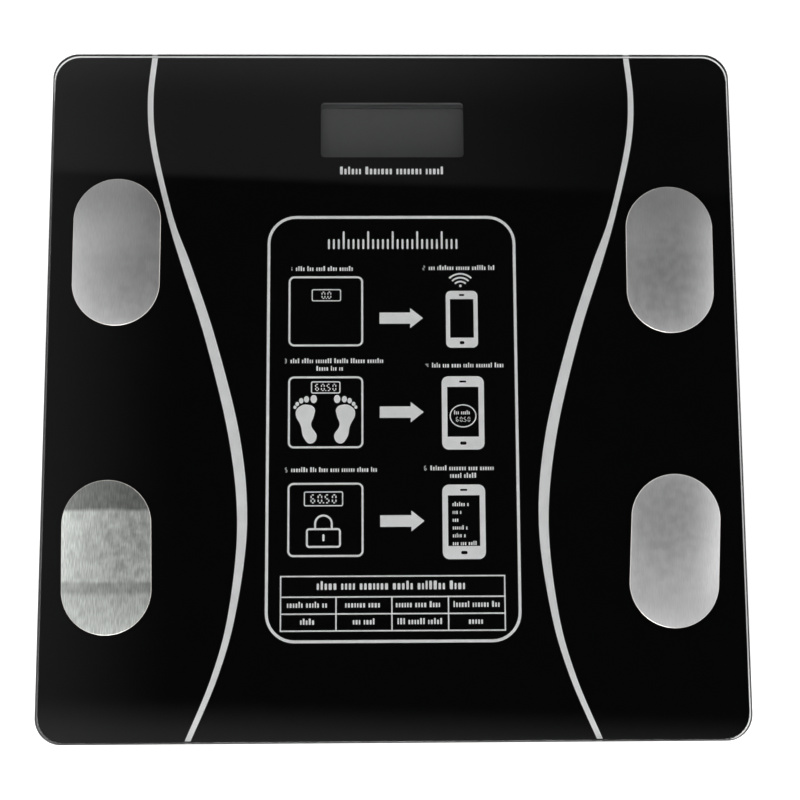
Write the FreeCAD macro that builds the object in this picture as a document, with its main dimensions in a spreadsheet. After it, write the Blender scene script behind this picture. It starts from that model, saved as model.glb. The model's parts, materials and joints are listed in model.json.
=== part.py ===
import FreeCAD, Part
import math
import os

import Sketcher
from FreeCAD import Placement, Rotation, Vector

# A flat electronic bathroom scale: a tempered glass platform printed black on its underside, four
# stainless foot pads for the body-fat reading, and an ABS tray glued under the glass that holds the
# load cells, the display board and two AAA cells.
# Frame: +Z up, +Y towards the display edge, origin on the floor under the middle of the platform.
# All sizes are in millimetres.

SIZES = [
    # platform
    ("glass_width", 280.0, "platform, left to right"),
    ("glass_depth", 280.0, "platform, front to display edge"),
    ("glass_thick", 5.0, "tempered glass"),
    ("glass_corner", 10.5, "corner radius of the platform"),
    ("glass_arris", 0.5, "ground edge, top and bottom"),
    ("film_thick", 0.2, "black screen print with its backing film"),
    ("film_inset", 0.5, "print stops short of the glass edge"),
    ("window_width", 59.0, "clear window in the print"),
    ("window_depth", 23.5, "clear window in the print"),
    ("window_corner", 1.5, "corner radius of the window"),
    ("window_edge_gap", 19.9, "display edge of the glass to the window"),
    # electrodes
    ("pad_width", 35.5, "steel foot pad"),
    ("pad_length", 61.0, "steel foot pad"),
    ("pad_thick", 0.4, "steel foot pad"),
    ("pad_edge", 0.15, "rounded rim of the steel pad"),
    ("pad_tape_thick", 0.15, "double-sided tape under the pad"),
    ("pad_tape_inset", 0.6, "tape stops short of the pad rim"),
    ("pad_side_gap", 27.5, "side of the glass to the middle of a pad"),
    ("pad_rear_gap", 86.0, "display edge to the middle of a rear pad"),
    ("pad_front_gap", 73.2, "front edge to the middle of a front pad"),
    ("stud_dia", 2.5, "threaded contact stud welded under the pad"),
    ("stud_inboard", 11.5, "middle of the pad to its stud, towards the centre line"),
    ("stud_hole_gap", 0.75, "clearance round the stud in the glass"),
    ("stud_length", 9.0, "stud below the pad"),
    ("nut_flats", 5.0, "hexagon nut on the stud"),
    ("nut_thick", 2.0, "hexagon nut on the stud"),
    # tray
    ("tray_inset", 5.0, "edge of the glass to the tray flange"),
    ("flange_corner", 9.0, "corner radius of the flange"),
    ("flange_thick", 2.0, "flange that carries the foam tape"),
    ("flange_overhang", 4.0, "flange beyond the wall"),
    ("wall_lean", 5.0, "the wall leans in towards the floor on each side"),
    ("wall_corner_top", 12.0, "corner radius of the wall at the flange"),
    ("wall_corner_low", 18.0, "corner radius of the wall at the floor"),
    ("tray_wall", 2.0, "wall thickness"),
    ("tray_floor", 2.0, "floor thickness"),
    ("tray_edge", 2.5, "rounded lower edge of the tray"),
    ("roof_rise", 0.35, "bay roof above the flange, inside the foam tape"),
    ("foam_thick", 0.8, "foam tape between tray and glass"),
    ("foam_width", 4.4, "foam tape"),
    ("foam_inset", 1.0, "edge of the flange to the tape"),
    ("rib_thick", 1.4, "stiffening ribs on the tray floor"),
    ("rib_height", 5.6, "stiffening ribs above the tray floor"),
    ("rib_spread", 76.0, "outer long ribs from the centre line"),
    ("rib_front", 22.0, "front cross rib behind the middle"),
    ("label_width", 84.0, "shallow seat for a rating label"),
    ("label_depth", 46.0, "shallow seat for a rating label"),
    ("label_seat", 0.3, "depth of the label seat"),
    ("label_corner", 3.0, "corner radius of the label seat"),
    ("label_middle", 52.0, "label middle in front of the centre"),
    ("label_thick", 0.2, "blank rating label"),
    ("label_gap", 0.6, "label to the side of its seat"),
    # feet
    ("foot_side", 38.0, "edge of the glass to the middle of a foot"),
    ("floor_gap", 4.4, "floor to the underside of the tray"),
    ("foot_dia", 38.0, "moulded foot"),
    ("foot_thick", 4.4, "moulded foot"),
    ("foot_rim", 0.9, "rounded rim of the foot"),
    ("foot_travel", 0.5, "upward travel of a foot at full load"),
    ("foot_stop_gap", 0.3, "left above the foot at full travel"),
    ("well_gap", 1.4, "gap round the foot in its well"),
    ("well_wall", 1.8, "wall and ceiling of the foot well"),
    ("neck_dia", 17.0, "neck of the foot through the well"),
    ("neck_wall", 2.0, "wall of the neck"),
    ("neck_gap", 0.6, "clearance round the neck"),
    ("hook_reach", 1.4, "snap hooks beyond the neck"),
    ("hook_height", 1.3, "snap hooks"),
    ("hook_gap", 0.1, "snap hooks above the well at rest"),
    ("hook_slot", 4.0, "slots between the snap hooks"),
    ("nub_dia", 6.0, "pressure nub under the load cell"),
    ("rubber_dia", 33.0, "rubber pad under the foot"),
    ("rubber_thick", 2.4, "rubber pad under the foot"),
    ("rubber_seat", 1.2, "pad sunk into the foot"),
    ("rubber_gap", 0.3, "gap round the pad in its seat"),
    ("tread_width", 1.2, "ring grooves in the rubber pad"),
    ("tread_depth", 0.6, "ring grooves in the rubber pad"),
    ("tread_pitch", 4.2, "ring grooves in the rubber pad"),
    # load cells
    ("cell_side", 34.0, "square steel load cell"),
    ("cell_thick", 1.6, "load cell plate"),
    ("cell_corner", 4.0, "corner radius of the load cell"),
    ("cell_lift", 10.4, "floor to the underside of the load cell"),
    ("tongue_width", 13.0, "middle tongue of the load cell"),
    ("cell_slot", 2.4, "slot round the tongue"),
    ("cell_rim", 5.0, "outer rim of the load cell"),
    ("cell_hole_dia", 3.2, "fixing holes in the load cell"),
    ("cell_hole_out", 13.6, "fixing holes from the middle of the cell"),
    ("gauge_width", 5.0, "strain gauge foil"),
    ("gauge_length", 7.0, "strain gauge foil"),
    ("gauge_thick", 0.2, "strain gauge foil"),
    ("gauge_shift", 7.0, "gauge from the middle of the cell, towards the tongue's root"),
    ("bracket_margin", 3.0, "moulded bracket beyond the load cell"),
    ("bracket_corner", 4.0, "corner radius of the bracket"),
    ("bracket_lip", 1.0, "bracket lip round the load cell"),
    ("bracket_fit", 0.2, "load cell to the bracket lip"),
    ("relief_side", 25.0, "hollow over the tongue"),
    ("relief_depth", 3.0, "hollow over the tongue"),
    ("wire_slot", 6.0, "slot in the bracket for the wires"),
    ("cell_screw_dia", 2.9, "self-tapping screw through the load cell"),
    ("cell_screw_long", 5.0, "self-tapping screw through the load cell"),
    ("cell_screw_head", 5.2, "pan head"),
    # batteries and their bay
    ("battery_dia", 10.5, "AAA cell"),
    ("battery_long", 44.5, "AAA cell with its nub"),
    ("nub_long", 1.0, "positive nub"),
    ("nub_width", 3.8, "positive nub"),
    ("battery_gap", 1.1, "between the two cells"),
    ("battery_side_gap", 0.5, "cell to the side of the bay"),
    ("battery_floor_gap", 0.5, "cell to the door and to the roof"),
    ("spring_long", 4.8, "compressed contact spring"),
    ("spring_wire", 0.5, "contact spring wire"),
    ("spring_dia_low", 7.0, "contact spring at its plate"),
    ("spring_dia_tip", 4.0, "contact spring at the cell"),
    ("spring_turns", 3.5, "contact spring"),
    ("terminal_thick", 0.4, "nickel-plated contact plate"),
    ("terminal_width", 8.6, "nickel-plated contact plate"),
    ("terminal_drop", 1.1, "top of a contact plate below the top of a cell"),
    ("terminal_dimple", 0.3, "raised spot on the plate that meets the nub"),
    ("dimple_dia", 3.0, "raised spot on the plate that meets the nub"),
    ("bay_wall", 1.4, "walls of the battery bay"),
    ("bay_roof", 1.1, "roof of the battery bay"),
    ("bay_gap", 6.25, "thickened floor round the door to the circuit board"),
    ("door_margin", 2.2, "door beyond the bay on each side"),
    ("door_end", 3.6, "door beyond the bay at each end"),
    ("door_thick", 1.5, "battery door"),
    ("door_corner", 1.6, "corner radius of the door"),
    ("door_gap", 0.2, "gap round the door"),
    ("door_ledge", 0.1, "gap above the door"),
    ("surround_wide", 3.0, "thickened floor round the door"),
    ("surround_high", 1.2, "thickened floor round the door"),
    ("tab_width", 6.0, "door tabs"),
    ("tab_reach", 3.0, "door tabs beyond the door"),
    ("tab_thick", 1.0, "door tabs"),
    ("tab_spread", 8.0, "door tabs from the middle of the door"),
    ("lip_thick", 0.8, "tray lip under the tabs"),
    ("tab_gap", 0.1, "tab above its lip"),
    ("latch_width", 12.0, "latch tongue of the door"),
    ("latch_high", 3.4, "latch tongue above the door"),
    ("latch_thick", 1.0, "latch tongue"),
    ("latch_room", 0.5, "room round the latch tongue"),
    ("catch_reach", 0.3, "catch on the latch tongue"),
    ("catch_high", 0.8, "catch on the latch tongue"),
    ("grip_width", 16.0, "finger hollow beside the latch"),
    ("grip_long", 7.0, "finger hollow beside the latch"),
    ("grip_depth", 1.0, "finger hollow beside the latch"),
    ("ridge_thick", 0.35, "grip ridges sunk in the door"),
    ("ridge_pitch", 1.8, "grip ridges sunk in the door"),
    ("ridge_width", 0.8, "grip ridges sunk in the door"),
    # circuit board and display
    ("board_width", 84.0, "circuit board"),
    ("board_depth", 57.1, "circuit board"),
    ("board_thick", 1.6, "circuit board"),
    ("board_lift", 3.0, "tray floor to the circuit board"),
    ("board_rear_gap", 15.9, "display edge of the glass to the board"),
    ("board_hole_in", 3.0, "board edge to its fixing holes"),
    ("boss_dia", 5.6, "screw bosses"),
    ("boss_bore", 1.8, "pilot hole in a boss"),
    ("board_screw_dia", 2.2, "self-tapping board screw"),
    ("board_screw_long", 4.0, "self-tapping board screw"),
    ("board_screw_head", 4.0, "pan head"),
    ("board_screw_gap", 0.2, "round the screw and past its end"),
    ("thread_bite", 0.05, "screw thread into its pilot hole"),
    ("lcd_width", 66.0, "display glass"),
    ("lcd_depth", 27.0, "display glass"),
    ("lcd_ledge", 2.0, "rear glass beyond the front glass, for the pins"),
    ("lcd_sheet", 1.1, "each of the two display glasses"),
    ("polariser_thick", 0.2, "polarising film"),
    ("backlight_thick", 2.0, "light guide behind the display"),
    ("bezel_wall", 1.6, "walls of the display frame"),
    ("bezel_lip", 0.1, "openings below the window, beyond its edges"),
    ("bezel_fit", 0.2, "display glass to its frame"),
    ("bezel_step", 1.5, "frame showing inside the light seal, at the far side of the window"),
    ("gasket_thick", 2.3, "foam light seal"),
    ("gasket_width", 3.0, "foam light seal"),
    ("pin_count", 17, "display pins"),
    ("pin_pitch", 2.5, "display pins"),
    ("pin_dia", 0.5, "display pins"),
    # unit button
    ("button_dia", 8.0, "unit button"),
    ("button_gap", 0.3, "gap round the button"),
    ("button_x", 28.0, "button right of the centre line"),
    ("button_in", 10.0, "front edge of the board to the button"),
    ("button_dish_dia", 14.0, "shallow dish round the button"),
    ("button_dish", 0.6, "depth of the dish"),
    ("button_proud", 0.4, "button stands out of its dish"),
    ("button_travel", 0.4, "button travel"),
    ("button_flange", 1.4, "flange beyond the button, inside the tray"),
    ("button_flange_thick", 0.7, "flange of the button"),
    ("button_flange_gap", 0.1, "flange above the tray floor"),
    ("switch_wide", 5.0, "push switch under the board"),
    ("switch_deep", 4.2, "push switch under the board"),
    ("switch_tall", 1.4, "push switch under the board"),
    ("plunger_dia", 2.0, "plunger of the push switch"),
    ("plunger_gap", 0.1, "clearance round the plunger"),
    # wiring
    ("wire_dia", 1.1, "insulated wire"),
    ("wire_pitch", 1.5, "parallel wires"),
    ("wire_bend", 12.0, "largest bend radius of a wire"),
    ("plug_wide", 7.0, "wire connector on the board"),
    ("plug_deep", 5.5, "wire connector on the board"),
    ("plug_tall", 4.2, "wire connector on the board"),
    ("plug_gap", 1.0, "between two connectors"),
    ("lane_cells", 60.0, "cell wires from the centre line"),
    ("lane_studs_front", 64.5, "front electrode wires from the centre line"),
    ("lane_studs_rear", 70.0, "rear electrode wires from the centre line"),
    ("wire_run", 14.0, "first straight run of a wire"),
    ("wire_drop", 5.0, "run in which an electrode wire comes down from its stud"),
    ("solder_run", 3.0, "end of a battery wire on the board"),
]

# Each steel pad is stuck on by hand: corner, X and Y shift from its nominal place, and its turn in
# degrees.
PAD_PLACES = {
    "rear_left": (0.3, 1.8, 0.0),
    "rear_right": (0.5, -1.7, -0.6),
    "front_left": (-1.0, -0.8, 1.2),
    "front_right": (-1.0, 0.8, -3.3),
}
CORNERS = {
    "rear_left": (-1, 1),
    "rear_right": (1, 1),
    "front_left": (-1, -1),
    "front_right": (1, -1),
}


# Points on each turn of a contact spring.
SPRING_POINTS = 16

# What is soldered to the board: kind, X, distance from the board's front edge, width, depth,
# height, and how far it stands above the board.
BOARD_ITEMS = {
    "controller_chip": [("block", -17.5, 9.5, 9.0, 9.0, 1.4)],
    "wireless_module": [("block", 9.0, 10.5, 14.0, 11.0, 0.8)],
    "wireless_shield": [("block", 7.5, 10.5, 9.0, 8.0, 1.6, 0.8)],
    "crystal": [("can", -8.5, 12.0, 3.6, 10.0, 3.4)],
    "capacitors": [("drum", 21.5, 8.0, 4.0, 4.0, 5.0), ("drum", 26.5, 8.0, 4.0, 4.0, 5.0)],
}


class Size:
    """A length known both as a formula on the spreadsheet and as its present number."""

    def __init__(self, formula, number):
        self.formula = formula
        self.number = float(number)

    def joined(self, sign, other, number):
        return Size(f"({self.formula} {sign} {as_size(other).formula})", number)

    def __add__(self, other):
        return self.joined("+", other, self.number + as_size(other).number)

    def __sub__(self, other):
        return self.joined("-", other, self.number - as_size(other).number)

    def __mul__(self, other):
        return self.joined("*", other, self.number * as_size(other).number)

    def __truediv__(self, other):
        return self.joined("/", other, self.number / as_size(other).number)

    def __radd__(self, other):
        return as_size(other) + self

    def __rsub__(self, other):
        return as_size(other) - self

    def __rmul__(self, other):
        return as_size(other) * self

    def __neg__(self):
        return self * -1


def as_size(value):
    """A plain number as a Size, and a Size as it is."""
    return value if isinstance(value, Size) else Size(repr(float(value)), value)


class Sheet:
    """The driving dimensions, written once on a spreadsheet and read by name as Sizes."""

    def __init__(self, document):
        self.sheet = document.addObject("Spreadsheet::Sheet", "Sizes")
        for row, (name, value, note) in enumerate(SIZES, start=1):
            self.put(row, name, value, note)
        row = len(SIZES) + 1
        for corner, shifts in PAD_PLACES.items():
            for axis, shift in zip(("x", "y", "turn"), shifts):
                self.put(row, f"pad_{corner}_{axis}", shift, "hand placing of a steel pad")
                row += 1
        document.recompute()

    def put(self, row, name, value, note):
        self.sheet.set(f"A{row}", name)
        self.sheet.set(f"B{row}", str(value))
        self.sheet.set(f"C{row}", note)
        self.sheet.setAlias(f"B{row}", name)
        setattr(self, name, Size(f"Sizes.{name}", value))


doc = FreeCAD.newDocument("bathroom_scale")
s = Sheet(doc)
ZERO = as_size(0)

# Heights above the floor.
Z_TRAY = s.floor_gap
Z_FLOOR = Z_TRAY + s.tray_floor
Z_DOOR_TOP = Z_TRAY + s.door_thick
Z_SEAT = Z_DOOR_TOP + s.door_ledge
Z_BATTERY = Z_SEAT + s.battery_floor_gap + s.battery_dia / 2
Z_ROOF = Z_BATTERY + s.battery_dia / 2 + s.battery_floor_gap / 2
Z_FLANGE = Z_ROOF + s.bay_roof - s.roof_rise
Z_FILM = Z_FLANGE + s.foam_thick
Z_GLASS = Z_FILM + s.film_thick
Z_TOP = Z_GLASS + s.glass_thick
Z_PAD = Z_TOP + s.pad_tape_thick
Z_FOOT = s.rubber_thick - s.rubber_seat
Z_FOOT_TOP = Z_FOOT + s.foot_thick
Z_WELL = Z_FOOT_TOP + s.foot_travel + s.foot_stop_gap
Z_WELL_TOP = Z_WELL + s.well_wall
Z_HOOK = Z_WELL_TOP + s.hook_gap
Z_CELL = s.cell_lift
Z_CELL_TOP = Z_CELL + s.cell_thick
Z_BOARD = Z_FLOOR + s.board_lift
Z_BOARD_TOP = Z_BOARD + s.board_thick
Z_LCD = Z_BOARD_TOP + s.backlight_thick
Z_LCD_TOP = Z_LCD + 2 * s.lcd_sheet + s.polariser_thick
Z_BEZEL_TOP = Z_FILM - s.gasket_thick

# Places across the platform.
WINDOW_Y = s.glass_depth / 2 - s.window_edge_gap - s.window_depth / 2
FOOT_X = s.glass_width / 2 - s.foot_side
FOOT_Y = s.glass_depth / 2 - s.foot_side
FLANGE_X = s.glass_width - 2 * s.tray_inset
FLANGE_Y = s.glass_depth - 2 * s.tray_inset
WALL_X = FLANGE_X - 2 * s.flange_overhang
WALL_Y = FLANGE_Y - 2 * s.flange_overhang
LOW_X = WALL_X - 2 * s.wall_lean
LOW_Y = WALL_Y - 2 * s.wall_lean
BOARD_Y = s.glass_depth / 2 - s.board_rear_gap - s.board_depth / 2
BOARD_FRONT = BOARD_Y - s.board_depth / 2
BUTTON_Y = BOARD_FRONT + s.button_in
BAY_LONG = s.battery_long + s.spring_long + 2 * s.terminal_thick + s.terminal_dimple
BATTERY_PITCH = s.battery_dia + s.battery_gap
TERMINAL_TALL = s.battery_dia - s.terminal_drop
BAY_WIDE = BATTERY_PITCH + s.battery_dia + 2 * s.battery_side_gap
DOOR_LONG = BAY_LONG + 2 * s.door_end
DOOR_WIDE = BAY_WIDE + 2 * s.door_margin
BAY_Y = BOARD_FRONT - s.bay_gap - s.surround_wide - DOOR_WIDE / 2
BRACKET_SIDE = s.cell_side + 2 * s.bracket_margin
WIRE_Z = Z_FLOOR + s.rib_height + s.wire_dia / 2

parts = []


def new_body(label):
    """A PartDesign body that is one piece of the scale."""
    body = doc.addObject("PartDesign::Body", label)
    body.Label = label
    parts.append(body)
    return body


def place(thing, x=ZERO, y=ZERO, z=ZERO, turn=None):
    """Puts a piece at a place, and turns it about its own vertical."""
    for axis, size in zip("xyz", (x, y, z)):
        thing.setExpression(f"Placement.Base.{axis}", as_size(size).formula)
    if turn is not None:
        thing.Placement = Placement(Vector(), Rotation(Vector(0, 0, 1), 1.0))
        thing.setExpression("Placement.Rotation.Angle", as_size(turn).formula)


def new_sketch(body, name, height=ZERO, plane="XY_Plane"):
    """A sketch on one of the body's own origin planes, moved along that plane's normal."""
    sketch = body.newObject("Sketcher::SketchObject", name)
    support = next(f for f in body.Origin.OriginFeatures if f.Role == plane)
    sketch.AttachmentSupport = [(support, "")]
    sketch.MapMode = "FlatFace"
    sketch.setExpression("AttachmentOffset.Base.z", as_size(height).formula)
    return sketch


def pin(sketch, edge, end, x, y):
    """Holds a point of a sketch edge at a place measured from the sketch's origin."""
    x, y = as_size(x), as_size(y)
    for kind, axis, size in (("DistanceX", -2, x), ("DistanceY", -1, y)):
        if abs(size.number) < 1e-9:
            sketch.addConstraint(Sketcher.Constraint("PointOnObject", edge, end, axis))
            continue
        rule = Sketcher.Constraint(kind, -1, 1, edge, end, size.number)
        index = sketch.addConstraint(rule)
        sketch.setExpression(f"Constraints[{index}]", size.formula)


def set_radius(sketch, edge, radius):
    """Gives a circle or an arc its radius."""
    index = sketch.addConstraint(Sketcher.Constraint("Radius", edge, radius.number))
    sketch.setExpression(f"Constraints[{index}]", radius.formula)


def draw_outline(sketch, points):
    """A closed outline of straight edges through points."""
    points = [(as_size(x), as_size(y)) for x, y in points]
    first = sketch.GeometryCount
    count = len(points)
    for index, (x, y) in enumerate(points):
        to_x, to_y = points[(index + 1) % count]
        start = Vector(x.number, y.number, 0)
        sketch.addGeometry(Part.LineSegment(start, Vector(to_x.number, to_y.number, 0)))
    for index, (x, y) in enumerate(points):
        edge, following = first + index, first + (index + 1) % count
        sketch.addConstraint(Sketcher.Constraint("Coincident", edge, 2, following, 1))
        pin(sketch, edge, 1, x, y)


def draw_rectangle(sketch, width, depth, x=ZERO, y=ZERO):
    """A plain rectangle about a middle."""
    left, right = x - width / 2, x + width / 2
    low, high = y - depth / 2, y + depth / 2
    draw_outline(sketch, [(left, low), (right, low), (right, high), (left, high)])


def draw_circle(sketch, radius, x=ZERO, y=ZERO):
    """A circle about a middle."""
    x, y, radius = as_size(x), as_size(y), as_size(radius)
    middle = Vector(x.number, y.number, 0)
    edge = sketch.addGeometry(Part.Circle(middle, Vector(0, 0, 1), radius.number))
    pin(sketch, edge, 3, x, y)
    set_radius(sketch, edge, radius)


def draw_arc(sketch, x, y, radius, start, end):
    """An arc between two angles in degrees, with its middle and radius held."""
    circle = Part.Circle(Vector(x.number, y.number, 0), Vector(0, 0, 1), radius.number)
    arc = Part.ArcOfCircle(circle, math.radians(start), math.radians(end))
    edge = sketch.addGeometry(arc)
    pin(sketch, edge, 3, x, y)
    set_radius(sketch, edge, radius)
    return edge


def draw_rounded(sketch, width, depth, radius, x=ZERO, y=ZERO):
    """A rectangle with round corners about a middle: four arcs and the lines tangent to them."""
    far_x, far_y = width / 2 - radius, depth / 2 - radius
    arcs = [
        draw_arc(sketch, x + far_x, y - far_y, radius, -90, 0),
        draw_arc(sketch, x + far_x, y + far_y, radius, 0, 90),
        draw_arc(sketch, x - far_x, y + far_y, radius, 90, 180),
        draw_arc(sketch, x - far_x, y - far_y, radius, 180, 270),
    ]
    close_with_lines(sketch, arcs)


def draw_obround(sketch, width, length, x=ZERO, y=ZERO):
    """Two half circles joined by straight sides, long along Y."""
    radius, reach = width / 2, length / 2 - width / 2
    arcs = [
        draw_arc(sketch, x, y + reach, radius, 0, 180),
        draw_arc(sketch, x, y - reach, radius, 180, 360),
    ]
    close_with_lines(sketch, arcs)


def close_with_lines(sketch, arcs):
    """Joins each arc's end to the next arc's start with a line tangent to both."""
    for index, arc in enumerate(arcs):
        following = arcs[(index + 1) % len(arcs)]
        start = sketch.Geometry[arc].EndPoint
        end = sketch.Geometry[following].StartPoint
        line = sketch.addGeometry(Part.LineSegment(start, end))
        sketch.addConstraint(Sketcher.Constraint("Tangent", arc, 2, line, 1))
        sketch.addConstraint(Sketcher.Constraint("Tangent", line, 2, following, 1))


def pad(body, sketch, length):
    """Raises a sketch into a solid along its normal."""
    feature = body.newObject("PartDesign::Pad", "Pad")
    feature.Profile = sketch
    feature.setExpression("Length", as_size(length).formula)
    return feature


def pocket(body, sketch, depth, upwards=False):
    """Cuts a sketch into the body, downwards along its normal unless upwards is set."""
    feature = body.newObject("PartDesign::Pocket", "Pocket")
    feature.Profile = sketch
    feature.Reversed = upwards
    feature.setExpression("Length", as_size(depth).formula)
    return feature


def revolve(body, points, name="profile"):
    """Turns an outline of (radius, height) points about the body's vertical."""
    sketch = new_sketch(body, name, plane="XZ_Plane")
    draw_outline(sketch, points)
    feature = body.newObject("PartDesign::Revolution", "Revolution")
    feature.Profile = sketch
    feature.ReferenceAxis = (sketch, ["V_Axis"])
    feature.Angle = 360
    return feature


def round_edges(body, base, kind, size, wanted):
    """A PartDesign Fillet or Chamfer on the edges of base for which wanted(edge) holds."""
    doc.recompute()
    names = [f"Edge{n}" for n, e in enumerate(base.Shape.Edges, start=1) if wanted(e)]
    feature = body.newObject(f"PartDesign::{kind}", kind)
    feature.Base = (base, names)
    feature.setExpression("Radius" if kind == "Fillet" else "Size", size.formula)
    return feature


def lies_at(edge, height):
    """True if the whole edge lies at one height."""
    box = edge.BoundBox
    return abs(box.ZMin - height.number) < 1e-4 and abs(box.ZMax - height.number) < 1e-4


def on_rim(edge, width, depth):
    """True if the edge lies on the outer border of a width by depth outline."""
    box = edge.BoundBox
    reach_x = max(abs(box.XMin), abs(box.XMax))
    reach_y = max(abs(box.YMin), abs(box.YMax))
    return reach_x > width.number / 2 - 0.01 or reach_y > depth.number / 2 - 0.01


def plate(label, width, depth, thick, z, x=ZERO, y=ZERO, corner=None):
    """A flat plate, square or round at its corners, as its own body."""
    body = new_body(label)
    sketch = new_sketch(body, "outline", z)
    if corner is None:
        draw_rectangle(sketch, width, depth, x, y)
    else:
        draw_rounded(sketch, width, depth, corner, x, y)
    pad(body, sketch, thick)
    return body


def group(label, shapes):
    """One node that holds several separate, like solids."""
    feature = doc.addObject("Part::Feature", label)
    feature.Label = label
    feature.Shape = Part.makeCompound(shapes)
    parts.append(feature)
    return feature


def pad_place(corner):
    """X, Y and turn of a steel pad, as Sizes."""
    side, end = CORNERS[corner]
    x = side * (s.glass_width / 2 - s.pad_side_gap) + getattr(s, f"pad_{corner}_x")
    rear = s.glass_depth / 2 - s.pad_rear_gap
    front = s.pad_front_gap - s.glass_depth / 2
    y = (rear if end > 0 else front) + getattr(s, f"pad_{corner}_y")
    return x, y, getattr(s, f"pad_{corner}_turn")


def stud_place(corner):
    """X and Y of the contact stud under a steel pad, as Sizes."""
    side = CORNERS[corner][0]
    x, y, _ = pad_place(corner)
    return x - side * s.stud_inboard, y


def foot_place(corner):
    """X and Y of a foot, as Sizes."""
    side, end = CORNERS[corner]
    return side * FOOT_X, end * FOOT_Y


def at(shape, x, y, z=0.0, turn=0.0):
    """A copy of a shape, turned about the vertical and moved."""
    moved = shape.copy()
    moved.Placement = Placement(Vector(x, y, z), Rotation(Vector(0, 0, 1), turn))
    return moved


# ---------------------------------------------------------------- platform


def make_glass():
    """The tempered platform: ground edges, and a hole under each steel pad for its stud."""
    body = new_body("glass_platform")
    sketch = new_sketch(body, "outline", Z_GLASS)
    draw_rounded(sketch, s.glass_width, s.glass_depth, s.glass_corner)
    slab = pad(body, sketch, s.glass_thick)
    edges = round_edges(body, slab, "Chamfer", s.glass_arris, is_glass_rim)
    body.Tip = edges
    holes = new_sketch(body, "stud_holes", Z_TOP)
    for corner in CORNERS:
        draw_circle(holes, s.stud_dia / 2 + s.stud_hole_gap, *stud_place(corner))
    pocket(body, holes, s.glass_thick)


def is_glass_rim(edge):
    """True for the edges of the platform's top and bottom faces."""
    return lies_at(edge, Z_TOP) or lies_at(edge, Z_GLASS)


def make_film():
    """The black print under the glass, with its window and a hole for each stud."""
    body = new_body("printed_film")
    sketch = new_sketch(body, "outline", Z_FILM)
    width, depth = s.glass_width - 2 * s.film_inset, s.glass_depth - 2 * s.film_inset
    draw_rounded(sketch, width, depth, s.glass_corner - s.film_inset)
    draw_rounded(sketch, s.window_width, s.window_depth, s.window_corner, y=WINDOW_Y)
    for corner in CORNERS:
        draw_circle(sketch, s.stud_dia / 2 + s.stud_hole_gap, *stud_place(corner))
    pad(body, sketch, s.film_thick)


def make_electrodes():
    """Four stainless pads, each on its own tape, with a welded stud and a nut below the glass."""
    tapes, studs, nuts = [], [], []
    for corner in CORNERS:
        x, y, turn = pad_place(corner)
        stud_x, stud_y = stud_place(corner)
        body = new_body(f"electrode_{corner}")
        sketch = new_sketch(body, "outline")
        draw_obround(sketch, s.pad_width, s.pad_length)
        sheet_metal = pad(body, sketch, s.pad_thick)
        rim = round_edges(
            body, sheet_metal, "Fillet", s.pad_edge, lambda e: lies_at(e, s.pad_thick)
        )
        body.Tip = rim
        place(body, x, y, Z_PAD, turn)
        tape = obround_prism(
            s.pad_width.number - 2 * s.pad_tape_inset.number,
            s.pad_length.number - 2 * s.pad_tape_inset.number,
            s.pad_tape_thick.number,
        )
        tape = at(tape, x.number, y.number, Z_TOP.number, turn.number)
        radius = s.stud_dia.number / 2
        hole = Part.makeCylinder(radius + s.stud_hole_gap.number, s.pad_tape_thick.number)
        tapes.append(tape.cut(at(hole, stud_x.number, stud_y.number, Z_TOP.number)))
        foot = Z_PAD.number - s.stud_length.number
        stud = Part.makeCylinder(radius, s.stud_length.number)
        studs.append(at(stud, stud_x.number, stud_y.number, foot))
        nuts.append(at(hex_nut(), stud_x.number, stud_y.number, Z_FILM.number))
    group("electrode_tape", tapes)
    group("contact_studs", studs)
    group("contact_nuts", nuts)


def obround_prism(width, length, thick):
    """A flat obround solid, long along Y."""
    reach = length / 2 - width / 2
    middle = Part.makeBox(width, 2 * reach, thick, Vector(-width / 2, -reach, 0))
    ends = [Part.makeCylinder(width / 2, thick, Vector(0, y, 0)) for y in (-reach, reach)]
    return middle.fuse(ends).removeSplitter()


def hex_nut():
    """A hexagon nut whose top face is at its origin, with its bore on the stud."""
    corner = s.nut_flats.number / math.sqrt(3)
    points = [
        Vector(corner * math.cos(math.radians(60 * n)), corner * math.sin(math.radians(60 * n)), 0)
        for n in range(7)
    ]
    prism = Part.Face(Part.makePolygon(points)).extrude(Vector(0, 0, -s.nut_thick.number))
    bore = Part.makeCylinder(
        s.stud_dia.number / 2 + s.thread_bite.number,
        s.nut_thick.number,
        Vector(),
        Vector(0, 0, -1),
    )
    return prism.cut(bore)


def make_foam():
    """The foam tape that bonds the tray's flange to the print."""
    body = new_body("foam_tape")
    sketch = new_sketch(body, "outline", Z_FLANGE)
    for inset in (s.foam_inset, s.foam_inset + s.foam_width):
        corner = s.flange_corner - inset
        draw_rounded(sketch, FLANGE_X - 2 * inset, FLANGE_Y - 2 * inset, corner)
    pad(body, sketch, s.foam_thick)


# ---------------------------------------------------------------- tray


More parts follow.
